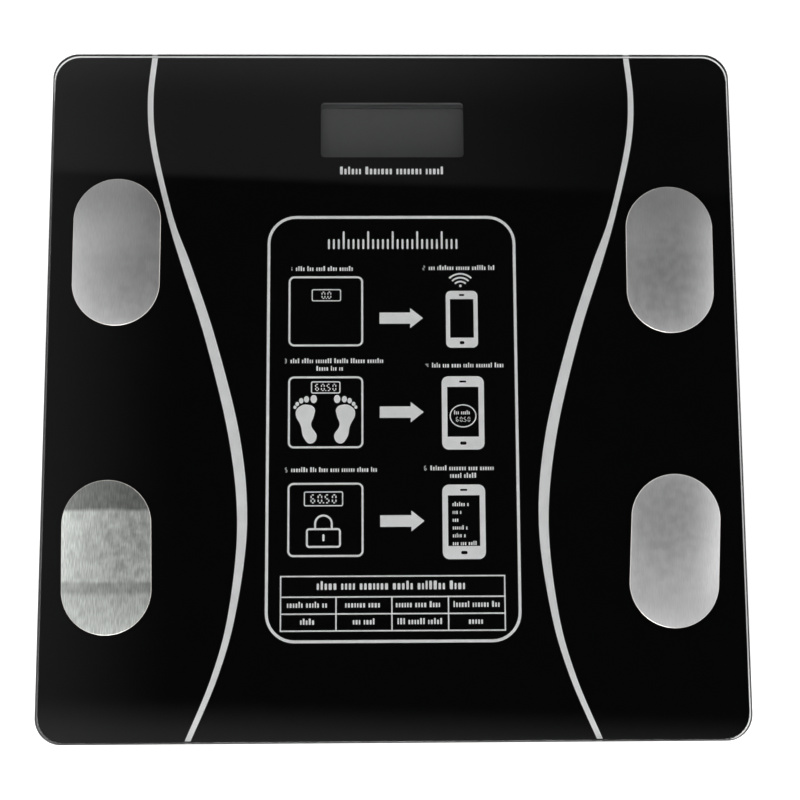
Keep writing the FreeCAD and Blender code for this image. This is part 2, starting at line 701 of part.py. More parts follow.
def make_tray():
    """The moulded tray: leaning walls, a flange, foot wells, bosses, ribs and the battery bay."""
    body = new_body("base_tray")
    shell = tray_shell(body)
    edges = round_edges(
        body,
        shell,
        "Fillet",
        s.tray_edge,
        lambda e: lies_at(e, Z_TRAY) and on_rim(e, LOW_X, LOW_Y),
    )
    body.Tip = edges
    hollow = body.newObject("PartDesign::SubtractiveLoft", "Hollow")
    low = new_sketch(body, "hollow_low", Z_FLOOR)
    high = new_sketch(body, "hollow_high", Z_FLANGE)
    inner = 2 * s.tray_wall
    draw_rounded(low, LOW_X - inner, LOW_Y - inner, s.wall_corner_low - s.tray_wall)
    draw_rounded(high, WALL_X - inner, WALL_Y - inner, s.wall_corner_top - s.tray_wall)
    hollow.Profile = low
    hollow.Sections = [high]
    hollow.Ruled = True
    raise_on_floor(body)
    sink_from_below(body)


def tray_shell(body):
    """The solid outside of the tray: the leaning wall and the flange."""
    low = new_sketch(body, "wall_low", Z_TRAY)
    high = new_sketch(body, "wall_high", Z_FLANGE - s.flange_thick)
    draw_rounded(low, LOW_X, LOW_Y, s.wall_corner_low)
    draw_rounded(high, WALL_X, WALL_Y, s.wall_corner_top)
    wall = body.newObject("PartDesign::AdditiveLoft", "Wall")
    wall.Profile = low
    wall.Sections = [high]
    wall.Ruled = True
    flange = new_sketch(body, "flange", Z_FLANGE - s.flange_thick)
    draw_rounded(flange, FLANGE_X, FLANGE_Y, s.flange_corner)
    return pad(body, flange, s.flange_thick)


def raise_on_floor(body):
    """What stands on the tray's floor."""
    wells = new_sketch(body, "wells", Z_TRAY)
    well_radius = s.foot_dia / 2 + s.well_gap
    for corner in CORNERS:
        draw_circle(wells, well_radius + s.well_wall, *foot_place(corner))
    pad(body, wells, Z_WELL_TOP - Z_TRAY)

    bosses = new_sketch(body, "bosses", Z_TRAY)
    for x, y in board_holes():
        draw_circle(bosses, s.boss_dia / 2, x, y)
    pad(body, bosses, Z_BOARD - Z_TRAY)

    surround = new_sketch(body, "door_surround", Z_TRAY)
    wide = 2 * s.surround_wide
    draw_rectangle(surround, DOOR_LONG + wide, DOOR_WIDE + wide, y=BAY_Y)
    pad(body, surround, s.tray_floor + s.surround_high)

    bay = new_sketch(body, "bay_walls", Z_TRAY)
    wall = 2 * s.bay_wall
    draw_rectangle(bay, BAY_LONG + wall, BAY_WIDE + wall, y=BAY_Y)
    pad(body, bay, Z_ROOF + s.bay_roof - Z_TRAY)

    ribs = new_sketch(body, "ribs", Z_FLOOR)
    reach_y = FOOT_Y - s.foot_dia / 2 - s.well_gap - s.well_wall
    for side in (-1, 1):
        draw_rectangle(ribs, s.rib_thick, 2 * reach_y, side * s.rib_spread)
    inner_x = s.rib_spread - s.rib_thick / 2
    front = BAY_Y - DOOR_WIDE / 2 - s.surround_wide - s.rib_front
    draw_rectangle(ribs, 2 * inner_x - s.rib_thick, s.rib_thick, y=front)
    draw_rectangle(ribs, 2 * inner_x - s.rib_thick, s.rib_thick, y=-reach_y + s.rib_front)
    pad(body, ribs, s.rib_height)


def sink_from_below(body):
    """What is cut into the tray, mostly from its underside."""
    wells = new_sketch(body, "well_hollows", Z_TRAY)
    necks = new_sketch(body, "neck_holes", Z_WELL)
    for corner in CORNERS:
        x, y = foot_place(corner)
        draw_circle(wells, s.foot_dia / 2 + s.well_gap, x, y)
        draw_circle(necks, s.neck_dia / 2 + s.neck_gap, x, y)
    pocket(body, wells, Z_WELL - Z_TRAY, upwards=True)
    pocket(body, necks, s.well_wall, upwards=True)

    pilots = new_sketch(body, "pilot_holes", Z_BOARD)
    for x, y in board_holes():
        draw_circle(pilots, s.boss_bore / 2, x, y)
    pocket(body, pilots, s.board_screw_long)

    seat = new_sketch(body, "door_seat", Z_TRAY)
    gap = 2 * s.door_gap
    draw_rounded(
        seat, DOOR_LONG + gap, DOOR_WIDE + gap, s.door_corner + s.door_gap, y=BAY_Y
    )
    pocket(body, seat, Z_SEAT - Z_TRAY, upwards=True)

    bay = new_sketch(body, "bay_hollow", Z_TRAY)
    draw_rectangle(bay, BAY_LONG, BAY_WIDE, y=BAY_Y)
    pocket(body, bay, Z_ROOF - Z_TRAY, upwards=True)

    slots = new_sketch(body, "tab_slots", Z_TRAY + s.lip_thick)
    near = -BAY_LONG / 2 - s.bay_wall
    length = s.tab_reach + 2 * s.door_gap + s.door_end - s.bay_wall
    middle_x = near - length / 2
    for side in (-1, 1):
        y = BAY_Y + side * s.tab_spread
        draw_rectangle(slots, length, s.tab_width + 2 * s.door_gap, middle_x, y)
    pocket(body, slots, Z_FLANGE - Z_TRAY, upwards=True)

    latch = new_sketch(body, "latch_slot", Z_TRAY)
    draw_rectangle(latch, latch_room_long(), latch_room_wide(), latch_middle(), BAY_Y)
    pocket(body, latch, Z_FLANGE - Z_TRAY, upwards=True)

    grip = new_sketch(body, "finger_hollow", Z_TRAY)
    grip_x = DOOR_LONG / 2 + s.door_gap + s.grip_long / 2
    draw_rectangle(grip, s.grip_long, s.grip_width, grip_x, BAY_Y)
    pocket(body, grip, s.grip_depth, upwards=True)

    label = new_sketch(body, "label_seat", Z_TRAY)
    draw_rounded(label, s.label_width, s.label_depth, s.label_corner, y=-s.label_middle)
    pocket(body, label, s.label_seat, upwards=True)

    dish = new_sketch(body, "button_dish", Z_TRAY)
    draw_circle(dish, s.button_dish_dia / 2, s.button_x, BUTTON_Y)
    pocket(body, dish, s.button_dish, upwards=True)
    hole = new_sketch(body, "button_hole", Z_TRAY)
    draw_circle(hole, s.button_dia / 2 + s.button_gap, s.button_x, BUTTON_Y)
    pocket(body, hole, s.tray_floor, upwards=True)


def latch_middle():
    """X of the middle of the latch tongue's own thickness."""
    return BAY_LONG / 2 + s.bay_wall + s.latch_room + s.latch_thick / 2


def latch_room_long():
    """The latch slot along X."""
    return s.latch_thick + 2 * s.latch_room


def latch_room_wide():
    """The latch slot along Y."""
    return s.latch_width + 2 * s.latch_room


def board_holes():
    """The places of the four board screws."""
    far_x = s.board_width / 2 - s.board_hole_in
    far_y = s.board_depth / 2 - s.board_hole_in
    return [(sx * far_x, BOARD_Y + sy * far_y) for sy in (-1, 1) for sx in (-1, 1)]


def make_label():
    """The blank label in its seat under the tray."""
    plate(
        "rating_label",
        s.label_width - 2 * s.label_gap,
        s.label_depth - 2 * s.label_gap,
        s.label_thick,
        Z_TRAY + s.label_seat - s.label_thick,
        y=-s.label_middle,
        corner=s.label_corner - s.label_gap,
    )


def make_door():
    """The battery door: two tabs at one end, a latch tongue at the other, and grip ridges."""
    body = new_body("battery_door")
    sketch = new_sketch(body, "outline", Z_TRAY)
    draw_rounded(sketch, DOOR_LONG, DOOR_WIDE, s.door_corner, y=BAY_Y)
    pad(body, sketch, s.door_thick)

    tabs = new_sketch(body, "tabs", Z_TRAY + s.lip_thick + s.tab_gap)
    length = s.tab_reach + s.door_end / 2
    middle_x = -DOOR_LONG / 2 - s.tab_reach + length / 2
    for side in (-1, 1):
        y = BAY_Y + side * s.tab_spread
        draw_rectangle(tabs, length, s.tab_width, middle_x, y)
    pad(body, tabs, s.tab_thick)

    latch = new_sketch(body, "latch", Z_TRAY)
    draw_rectangle(latch, s.latch_thick, s.latch_width, latch_middle(), BAY_Y)
    pad(body, latch, s.door_thick + s.latch_high)
    catch = new_sketch(body, "catch", Z_DOOR_TOP + s.latch_high - s.catch_high)
    catch_x = latch_middle() + s.catch_reach / 2
    draw_rectangle(catch, s.latch_thick + s.catch_reach, s.latch_width / 2, catch_x, BAY_Y)
    pad(body, catch, s.catch_high)

    ridges = new_sketch(body, "ridges", Z_TRAY)
    for n in range(5):
        x = DOOR_LONG / 2 - (n + 1.5) * s.ridge_pitch
        draw_rectangle(ridges, s.ridge_width, s.grip_width, x, BAY_Y)
    pocket(body, ridges, s.ridge_thick, upwards=True)

    arrow = new_sketch(body, "arrow", Z_TRAY)
    tip = DOOR_LONG / 2 - 8 * s.ridge_pitch
    draw_outline(
        arrow,
        [
            (tip, BAY_Y),
            (tip - s.grip_long, BAY_Y + s.grip_long / 2),
            (tip - s.grip_long, BAY_Y - s.grip_long / 2),
        ],
    )
    pocket(body, arrow, s.ridge_thick, upwards=True)


# ---------------------------------------------------------------- feet and load cells


def make_foot(corner):
    """One moulded foot: a disc, a pressure nub and a slotted neck with snap hooks."""
    body = new_body(f"foot_{corner}")
    radius, neck = s.foot_dia / 2, s.neck_dia / 2
    seat = s.rubber_dia / 2 + s.rubber_gap
    hook_top = Z_HOOK + s.hook_height
    turned = revolve(
        body,
        [
            (ZERO, s.rubber_thick),
            (seat, s.rubber_thick),
            (seat, Z_FOOT),
            (radius - s.foot_rim, Z_FOOT),
            (radius, Z_FOOT + s.foot_rim),
            (radius, Z_FOOT_TOP - s.foot_rim),
            (radius - s.foot_rim, Z_FOOT_TOP),
            (neck, Z_FOOT_TOP),
            (neck, Z_HOOK),
            (neck + s.hook_reach, Z_HOOK),
            (neck, hook_top),
            (neck - s.neck_wall, hook_top),
            (neck - s.neck_wall, Z_FOOT_TOP),
            (s.nub_dia / 2, Z_FOOT_TOP),
            (s.nub_dia / 2, Z_CELL),
            (ZERO, Z_CELL),
        ],
    )
    body.Tip = turned
    slots = new_sketch(body, "hook_slots", hook_top)
    for side in (-1, 1):
        across = side * (neck - s.neck_wall / 2)
        reach = s.neck_wall + 2 * s.hook_reach
        draw_rectangle(slots, reach, s.hook_slot, across)
        draw_rectangle(slots, s.hook_slot, reach, y=across)
    pocket(body, slots, hook_top - Z_FOOT_TOP)
    place(body, *foot_place(corner))


def make_rubber(corner):
    """The rubber pad under one foot, with two ring grooves."""
    body = new_body(f"foot_pad_{corner}")
    radius = s.rubber_dia / 2
    points = [(ZERO, ZERO)]
    for n in (1, 2):
        inner = n * s.tread_pitch + s.tread_width
        points += [
            (inner, ZERO),
            (inner, s.tread_depth),
            (inner + s.tread_width, s.tread_depth),
            (inner + s.tread_width, ZERO),
        ]
    bevel = s.tread_depth / 2
    points += [
        (radius - bevel, ZERO),
        (radius, bevel),
        (radius, s.rubber_thick),
        (ZERO, s.rubber_thick),
    ]
    body.Tip = revolve(body, points)
    place(body, *foot_place(corner))


def cell_turn(corner):
    """The cells turn so that each tongue's root, and its wires, face the centre line."""
    return 0.0 if CORNERS[corner][0] < 0 else 180.0


def make_cell(corner):
    """One load cell: a plate with a tongue freed by a slot on three sides."""
    body = new_body(f"load_cell_{corner}")
    outline = new_sketch(body, "outline")
    draw_rounded(outline, s.cell_side, s.cell_side, s.cell_corner)
    pad(body, outline, s.cell_thick)
    slot = new_sketch(body, "slot", s.cell_thick)
    far = s.cell_side / 2 - s.cell_rim
    half, wide = s.tongue_width / 2, s.cell_slot
    draw_outline(
        slot,
        [
            (-far, -half - wide),
            (far, -half - wide),
            (far, -half),
            (-far + wide, -half),
            (-far + wide, half),
            (far, half),
            (far, half + wide),
            (-far, half + wide),
        ],
    )
    pocket(body, slot, s.cell_thick)
    holes = new_sketch(body, "holes", s.cell_thick)
    for side in (-1, 1):
        draw_circle(holes, s.cell_hole_dia / 2, side * s.cell_hole_out, side * s.cell_hole_out)
    pocket(body, holes, s.cell_thick)
    x, y = foot_place(corner)
    place(body, x, y, Z_CELL, cell_turn(corner))


def make_bracket(corner):
    """The moulded bracket that carries a load cell's rim and is bonded to the glass."""
    body = new_body(f"cell_bracket_{corner}")
    low = Z_CELL_TOP - s.bracket_lip
    outline = new_sketch(body, "outline", low)
    draw_rounded(outline, BRACKET_SIDE, BRACKET_SIDE, s.bracket_corner)
    pad(body, outline, Z_FILM - low)
    seat = new_sketch(body, "cell_seat", low)
    fit = 2 * s.bracket_fit
    draw_rounded(seat, s.cell_side + fit, s.cell_side + fit, s.cell_corner)
    pocket(body, seat, s.bracket_lip, upwards=True)
    relief = new_sketch(body, "tongue_relief", Z_CELL_TOP)
    draw_rounded(relief, s.relief_side, s.tongue_width + 2 * s.cell_slot, s.cell_corner / 2)
    pocket(body, relief, s.relief_depth, upwards=True)
    slot = new_sketch(body, "wire_slot", low)
    reach = BRACKET_SIDE / 2
    draw_rectangle(slot, reach, s.wire_slot, reach / 2)
    pocket(body, slot, s.relief_depth + s.bracket_lip, upwards=True)
    pilots = new_sketch(body, "pilots", Z_CELL_TOP)
    radius = s.cell_screw_dia / 2 - s.thread_bite
    for side in (-1, 1):
        draw_circle(pilots, radius, side * s.cell_hole_out, side * s.cell_hole_out)
    pocket(body, pilots, s.cell_screw_long, upwards=True)
    x, y = foot_place(corner)
    place(body, x, y, turn=cell_turn(corner))


def screw(diameter, length, head):
    """A pan-head screw with a cross recess, its seat at the origin and its shank pointing down."""
    tall = 0.38 * head
    shank = Part.makeCylinder(diameter / 2, length * 0.8, Vector(0, 0, -length * 0.8))
    point = Part.makeCone(diameter / 5, diameter / 2, length * 0.2, Vector(0, 0, -length))
    disc = Part.makeCylinder(head / 2, tall * 0.4)
    dome = Part.makeCone(head / 2, head / 3, tall * 0.6, Vector(0, 0, tall * 0.4))
    solid = disc.fuse([dome, shank, point]).removeSplitter()
    arm, wide = head * 0.55, head * 0.12
    for size_x, size_y in ((arm, wide), (wide, arm)):
        corner = Vector(-size_x / 2, -size_y / 2, tall * 0.45)
        solid = solid.cut(Part.makeBox(size_x, size_y, tall, corner))
    return solid


def make_cell_screws():
    """Two screws up through each load cell into its bracket."""
    one = screw(
        s.cell_screw_dia.number - 2 * s.thread_bite.number,
        s.cell_screw_long.number,
        s.cell_screw_head.number,
    )
    solids = []
    for corner in CORNERS:
        x, y = foot_place(corner)
        for side in (-1, 1):
            out = side * s.cell_hole_out.number
            if cell_turn(corner):
                out = -out
            turned = one.copy()
            turned.Placement = Placement(
                Vector(x.number + out, y.number + out, Z_CELL.number),
                Rotation(Vector(1, 0, 0), 180),
            )
            solids.append(turned)
    group("cell_screws", solids)


def make_gauges():
    """The strain gauge on the root of each tongue, under its drop of white sealant."""
    foils, drops = [], []
    for corner in CORNERS:
        x, y = foot_place(corner)
        side = -1 if cell_turn(corner) else 1
        foil = Part.makeBox(
            s.gauge_length.number,
            s.gauge_width.number,
            s.gauge_thick.number,
            Vector(-s.gauge_length.number / 2, -s.gauge_width.number / 2, 0),
        )
        place_x = x.number + side * s.gauge_shift.number
        foils.append(at(foil, place_x, y.number, Z_CELL_TOP.number))
        drop = Part.makeSphere(s.gauge_length.number / 2)
        squash = FreeCAD.Matrix()
        squash.scale(Vector(0.92, 0.66, 0.34))
        drop = drop.transformGeometry(squash)
        keep = Part.makeBox(20, 20, 5, Vector(-10, -10, 0))
        drop = drop.common(keep)
        top = Z_CELL_TOP.number + s.gauge_thick.number
        drops.append(at(drop, place_x, y.number, top))
    group("strain_gauges", foils)
    group("gauge_sealant", drops)


# ---------------------------------------------------------------- batteries


def make_batteries():
    """Two AAA cells lying along X, head to tail."""
    for name, side in (("battery_front", -1), ("battery_rear", 1)):
        body = new_body(name)
        radius, chamfer = s.battery_dia / 2, s.battery_dia / 20
        can = s.battery_long - s.nub_long
        revolve(
            body,
            [
                (ZERO, chamfer / 2),
                (radius * 0.6, chamfer / 2),
                (radius * 0.7, ZERO),
                (radius - chamfer, ZERO),
                (radius, chamfer),
                (radius, can - chamfer),
                (radius - chamfer, can),
                (radius * 0.75, can),
                (radius * 0.7, can - chamfer),
                (s.nub_width / 2, can - chamfer),
                (s.nub_width / 2, s.battery_long - chamfer / 2),
                (s.nub_width / 2 - chamfer / 2, s.battery_long),
                (ZERO, s.battery_long),
            ],
        )
        reach = BAY_LONG / 2 - s.terminal_thick - s.spring_long
        x = side * reach
        y = BAY_Y + side * BATTERY_PITCH / 2
        axis = Rotation(Vector(0, 1, 0), -90.0 * side)
        body.Placement = Placement(Vector(x.number, y.number, Z_BATTERY.number), axis)
        for letter, size in zip("xyz", (x, y, Z_BATTERY)):
            body.setExpression(f"Placement.Base.{letter}", size.formula)


def make_terminals():
    """Contact plates at both ends of the bay, and the springs that press on the cells."""
    wall = BAY_LONG / 2 - s.terminal_thick / 2
    half = BATTERY_PITCH / 2
    low = Z_SEAT + s.battery_floor_gap
    for name, x, y, wide in (
        ("terminal_positive", -wall, BAY_Y + half, s.terminal_width),
        ("terminal_negative", -wall, BAY_Y - half, s.terminal_width),
        ("terminal_bridge", wall, BAY_Y, BATTERY_PITCH + s.terminal_width),
    ):
        body = new_body(name)
        sketch = new_sketch(body, "outline", low)
        draw_rectangle(sketch, s.terminal_thick, wide, x, y)
        pad(body, sketch, TERMINAL_TALL)
        if name == "terminal_negative":
            continue
        side = -1 if name == "terminal_positive" else 1
        spot = new_sketch(body, "dimple", x, "YZ_Plane")
        draw_circle(spot, s.dimple_dia / 2, BAY_Y - side * half, Z_BATTERY)
        feature = pad(body, spot, s.terminal_thick / 2 + s.terminal_dimple)
        feature.Reversed = side > 0
    group("battery_springs", [battery_spring(side) for side in (-1, 1)])


def battery_spring(side):
    """A conical spring from its contact plate to the flat end of a cell."""
    wire, length = s.spring_wire.number, s.spring_long.number
    low = (s.spring_dia_low.number - wire) / 2
    tip = (s.spring_dia_tip.number - wire) / 2
    steps = SPRING_POINTS * int(s.spring_turns.number)
    points = []
    for n in range(steps + 1):
        share = n / steps
        angle = 2 * math.pi * s.spring_turns.number * share
        radius = low + (tip - low) * share
        height = wire / 2 + (length - wire) * share
        points.append(Vector(radius * math.cos(angle), radius * math.sin(angle), height))
    curve = Part.BSplineCurve()
    curve.interpolate(points)
    start = curve.tangent(curve.FirstParameter)[0]
    ring = Part.Wire(Part.Edge(Part.Circle(points[0], start, wire / 2)))
    coil = Part.Wire(curve.toShape()).makePipeShell([ring], True, True)
    x = -side * (BAY_LONG.number / 2 - s.terminal_thick.number)
    y = BAY_Y.number - side * BATTERY_PITCH.number / 2
    coil.Placement = Placement(
        Vector(x, y, Z_BATTERY.number), Rotation(Vector(0, 1, 0), 90.0 * side)
    )
    return coil


# ---------------------------------------------------------------- board and display


def make_board():
    """The circuit board and what is soldered to it."""
    body = new_body("circuit_board")
    sketch = new_sketch(body, "outline", Z_BOARD)
    draw_rounded(sketch, s.board_width, s.board_depth, s.window_corner, y=BOARD_Y)
    for x, y in board_holes():
        draw_circle(sketch, (s.board_screw_dia + s.board_screw_gap) / 2, x, y)
    pad(body, sketch, s.board_thick)

    one = screw(
        s.boss_bore.number - 2 * s.thread_bite.number,
        s.board_screw_long.number + s.board_thick.number - s.board_screw_gap.number,
        s.board_screw_head.number,
    )
    places = [(x.number, y.number) for x, y in board_holes()]
    group("board_screws", [at(one, x, y, Z_BOARD_TOP.number) for x, y in places])

    for label, items in BOARD_ITEMS.items():
        group(label, [board_item(*item) for item in items])
    make_connectors()


def board_item(kind, x, from_front, width, depth, height, lift=0.0):
    """One block, can or drum on the board, by its middle."""
    middle = Vector(x, BOARD_FRONT.number + from_front, Z_BOARD_TOP.number + lift)
    if kind == "drum":
        return Part.makeCylinder(width / 2, height, middle)
    if kind == "can":
        return at(obround_prism(width, depth, height), *middle)
    corner = middle - Vector(width / 2, depth / 2, 0)
    return Part.makeBox(width, depth, height, corner)


def plug_places():
    """The inner face of the connectors, the Y of the first one, and the step to the second."""
    far = s.board_width.number / 2 - s.plug_deep.number
    wide = s.plug_wide.number
    first = BOARD_FRONT.number + 2 * s.board_hole_in.number + wide / 2
    return far, first, wide + s.plug_gap.number


def make_connectors():
    """Two wire connectors on each side edge of the board."""
    far, first, step = plug_places()
    wide, deep, tall = s.plug_wide.number, s.plug_deep.number, s.plug_tall.number
    solids = []
    for side in (-1, 1):
        for n in range(2):
            middle = Vector(side * (far + deep / 2), first + n * step, Z_BOARD_TOP.number)
            corner = middle - Vector(deep / 2, wide / 2, 0)
            solids.append(Part.makeBox(deep, wide, tall, corner))
    group("wire_connectors", solids)


def make_display():
    """The display stack: light guide, two glasses, polariser, pins, frame and light seal."""
    depth = s.lcd_depth
    plate("backlight", s.lcd_width, depth, s.backlight_thick, Z_BOARD_TOP, y=WINDOW_Y)
    front_y = WINDOW_Y + s.lcd_ledge / 2
    front_depth = depth - s.lcd_ledge
    z = Z_LCD + s.lcd_sheet
    glasses = []
    for low, y, deep in ((Z_LCD, WINDOW_Y, depth), (z, front_y, front_depth)):
        corner = Vector(-s.lcd_width.number / 2, (y - deep / 2).number, low.number)
        sizes = (s.lcd_width.number, deep.number, s.lcd_sheet.number)
        glasses.append(Part.makeBox(*sizes, corner))
    group("lcd_glass", glasses)
    z = z + s.lcd_sheet
    plate("lcd_polariser", s.lcd_width, front_depth, s.polariser_thick, z, y=front_y)
    make_pins()
    make_bezel()
    gasket = new_body("display_gasket")
    sketch = new_sketch(gasket, "outline", Z_BEZEL_TOP)
    lip = 2 * s.bezel_lip
    ring = 2 * s.gasket_width
    width, depth = s.window_width + lip, s.window_depth + lip
    draw_rounded(sketch, width + ring, depth + ring, s.window_corner * 2, y=WINDOW_Y)
    draw_rounded(sketch, width, depth, s.window_corner, y=WINDOW_Y)
    pad(gasket, sketch, s.gasket_thick)


def make_pins():
    """The row of pins from the rear glass down to the board."""
    radius, count = s.pin_dia.number / 2, int(s.pin_count.number)
    y = WINDOW_Y.number - s.lcd_depth.number / 2 - radius
    height = s.backlight_thick.number + s.lcd_sheet.number
    pins = []
    for n in range(count):
        x = (n - (count - 1) / 2) * s.pin_pitch.number
        pins.append(Part.makeCylinder(radius, height, Vector(x, y, Z_BOARD_TOP.number)))
    group("lcd_pins", pins)


def make_bezel():
    """The black frame that holds the display against the board."""
    body = new_body("display_frame")
    fit = 2 * s.bezel_fit
    room_x = s.lcd_width + fit
    room_y = s.lcd_depth + fit + s.lcd_ledge
    middle = WINDOW_Y - s.lcd_ledge / 2
    outline = new_sketch(body, "outline", Z_BOARD_TOP)
    wall = 2 * s.bezel_wall
    draw_rounded(outline, room_x + wall, room_y + wall, s.window_corner, y=middle)
    pad(body, outline, Z_BEZEL_TOP - Z_BOARD_TOP)
    room = new_sketch(body, "display_room", Z_BOARD_TOP)
    draw_rectangle(room, room_x, room_y, y=middle)
    pocket(body, room, Z_LCD_TOP + s.bezel_fit - Z_BOARD_TOP, upwards=True)
    window = new_sketch(body, "window", Z_BEZEL_TOP)
    wide = s.window_width + 2 * s.bezel_lip
    deep = s.window_depth + 2 * s.bezel_lip - s.bezel_step
    draw_rounded(window, wide, deep, s.window_corner, y=WINDOW_Y - s.bezel_step / 2)
    pocket(body, window, Z_BEZEL_TOP - Z_LCD_TOP)


def make_button():
    """The unit button in the tray's floor, and the push switch it works."""
    body = new_body("unit_button")
    radius = s.button_dia / 2
    low = Z_TRAY + s.button_dish - s.button_proud
    flange = Z_FLOOR + s.button_flange_gap
    top = flange + s.button_flange_thick
    bevel = s.button_proud
    revolve(
        body,
        [
            (ZERO, low + bevel / 2),
            (radius * 0.6, low),
            (radius - bevel, low),
            (radius, low + bevel),
            (radius, flange),
            (radius + s.button_flange, flange),
            (radius + s.button_flange, top),
            (ZERO, top),
        ],
    )
    place(body, s.button_x, BUTTON_Y)

    switch = new_body("push_switch")
    sketch = new_sketch(switch, "outline", Z_BOARD - s.switch_tall)
    draw_rectangle(sketch, s.switch_wide, s.switch_deep, s.button_x, BUTTON_Y)
    pad(switch, sketch, s.switch_tall)
    bore = new_sketch(switch, "bore", Z_BOARD - s.switch_tall)
    draw_circle(bore, s.plunger_dia / 2 + s.plunger_gap, s.button_x, BUTTON_Y)
    pocket(switch, bore, s.switch_tall - s.plunger_gap, upwards=True)

    plunger = new_body("switch_plunger")
    rise = Z_BOARD - s.plunger_gap * 2 - s.button_travel - top
    sketch = new_sketch(plunger, "outline", top)
    draw_circle(sketch, s.plunger_dia / 2, s.button_x, BUTTON_Y)
    pad(plunger, sketch, rise)


# ---------------------------------------------------------------- wiring


def wire_along(points, diameter):
    """A wire along straight runs joined by arcs tangent to them."""
    points = [Vector(*p) for p in points]
    edges, at_point = [], points[0]
    for before, here, after in zip(points, points[1:], points[2:]):
        one, two = (here - before), (after - here)
        turn = one.getAngle(two)
        room = 0.45 * min(one.Length, two.Length)
        radius = min(room / math.tan(turn / 2), s.wire_bend.number)
        cut = radius * math.tan(turn / 2)
        start = here - one.normalize() * cut
        end = here + two.normalize() * cut
        bisector = (end - here) + (start - here)
        bisector.normalize()
        middle = here + bisector * (radius / math.cos(turn / 2) - radius)
        edges.append(Part.LineSegment(at_point, start).toShape())
        edges.append(Part.Arc(start, middle, end).toShape())
        at_point = end
    edges.append(Part.LineSegment(at_point, points[-1]).toShape())
    path = Part.Wire(edges)
    heading = points[1] - points[0]
    ring = Part.Wire(Part.Edge(Part.Circle(points[0], heading, diameter / 2)))
    tube = path.makePipeShell([ring], True, False)
    expected = math.pi * diameter**2 / 4 * path.Length
    if abs(tube.Volume - expected) > 0.01 * expected:
        raise ValueError(f"a wire's volume is {tube.Volume:.2f}, not {expected:.2f}")
    return tube


def beside(points, shift):
    """The same route moved sideways by shift, in plan."""
    moved = []
    last = len(points) - 1
    for index, (x, y, z) in enumerate(points):
        into = heading(points[max(index - 1, 0)], points[max(index, 1)])
        away = heading(points[min(index, last - 1)], points[min(index + 1, last)])
        across = Vector(-into.y - away.y, into.x + away.x, 0).normalize()
        lean = across.y * into.x - across.x * into.y
        moved.append((x + across.x * shift / lean, y + across.y * shift / lean, z))
    return moved


def heading(start, end):
    """The direction in plan from one point to another."""
    return Vector(end[0] - start[0], end[1] - start[1], 0).normalize()


def mirrored(side, points):
    """A route drawn for the right half, on its own side."""
    return [(side * x, y, z) for x, y, z in points]


def make_wires():
    """The wires from the load cells, the studs and the battery contacts to the board."""
    cell_wires, stud_wires = [], []
    for corner, (side, end) in CORNERS.items():
        route = mirrored(side, cell_route(corner, end))
        for n in (-1, 0, 1):
            shifted = beside(route, n * s.wire_pitch.number)
            cell_wires.append(wire_along(shifted, s.wire_dia.number))
        route = mirrored(side, stud_route(corner, end))
        stud_wires.append(wire_along(route, s.wire_dia.number))
    group("cell_wires", cell_wires)
    group("electrode_wires", stud_wires)
    group("battery_wire_positive", [battery_wire(1)])
    group("battery_wire_negative", [battery_wire(-1)])


def cell_route(corner, end):
    """From a load cell to its connector, drawn for the right half."""
    far, first, step = plug_places()
    mouth = far + s.plug_deep.number
    x, y = (abs(size.number) for size in foot_place(corner))
    y = end * y
    run, lane, z = s.wire_run.number, s.lane_cells.number, WIRE_Z.number
    level = Z_CELL_TOP.number + s.wire_dia.number / 2
    start = x - s.gauge_shift.number - s.gauge_length.number / 2
    share = s.plug_wide.number / 8
    bend = run / 2
    if end > 0:
        plug_y = first + step + share
        return [
            (start, y, level),
            (start - run, y, z),
            (lane, plug_y + bend, z),
            (mouth + bend, plug_y, z),
            (mouth, plug_y, z),
        ]
    plug_y = first - share
    return [
        (start, y, level),
        (start - run, y, z),
        (lane, y + run, z),
        (lane, plug_y - 2 * run, z),
        (mouth + bend, plug_y, z),
        (mouth, plug_y, z),
    ]


def stud_route(corner, end):
    """From the stud of a steel pad to its connector, drawn for the right half."""
    far, first, step = plug_places()
    mouth = far + s.plug_deep.number
    x, y = (size.number for size in stud_place(corner))
    z, run, drop = WIRE_Z.number, s.wire_run.number, s.wire_drop.number
    start = abs(x) - s.stud_dia.number / 2 - s.wire_dia.number / 3
    level = Z_FILM.number - s.nut_thick.number - s.wire_dia.number
    share = s.plug_wide.number / 3
    lane = (s.lane_studs_rear if end > 0 else s.lane_studs_front).number
    plug_y = first + step - share if end > 0 else first + share
    away = run / 2 if end > 0 else 1.5 * run
    approach = run / 2 if end > 0 else run
    return [
        (start, y, level),
        (start - drop, y, z),
        (lane, y + run / 2, z),
        (lane, plug_y - away, z),
        (mouth + approach, plug_y, z),
        (mouth, plug_y, z),
    ]


def battery_wire(side):
    """From a battery contact round the bay to the front edge of the board."""
    wall = BAY_LONG.number / 2 + s.bay_wall.number
    y = BAY_Y.number + side * BATTERY_PITCH.number / 2
    z, low = WIRE_Z.number, Z_BOARD_TOP.number + s.wire_dia.number / 2
    pitch, front = s.wire_pitch.number, BOARD_FRONT.number
    lane = -wall - (4 - side) * pitch
    turn_y = front - (3.5 + side) * pitch
    end_x = -wall + (3 + 2 * side) * pitch
    route = [
        (-wall, y, z),
        (lane, y, z),
        (lane, turn_y, z),
        (end_x, turn_y, z),
        (end_x, front, low),
        (end_x, front + s.solder_run.number, low),
    ]
    return wire_along(route, s.wire_dia.number)


# ---------------------------------------------------------------- the whole scale


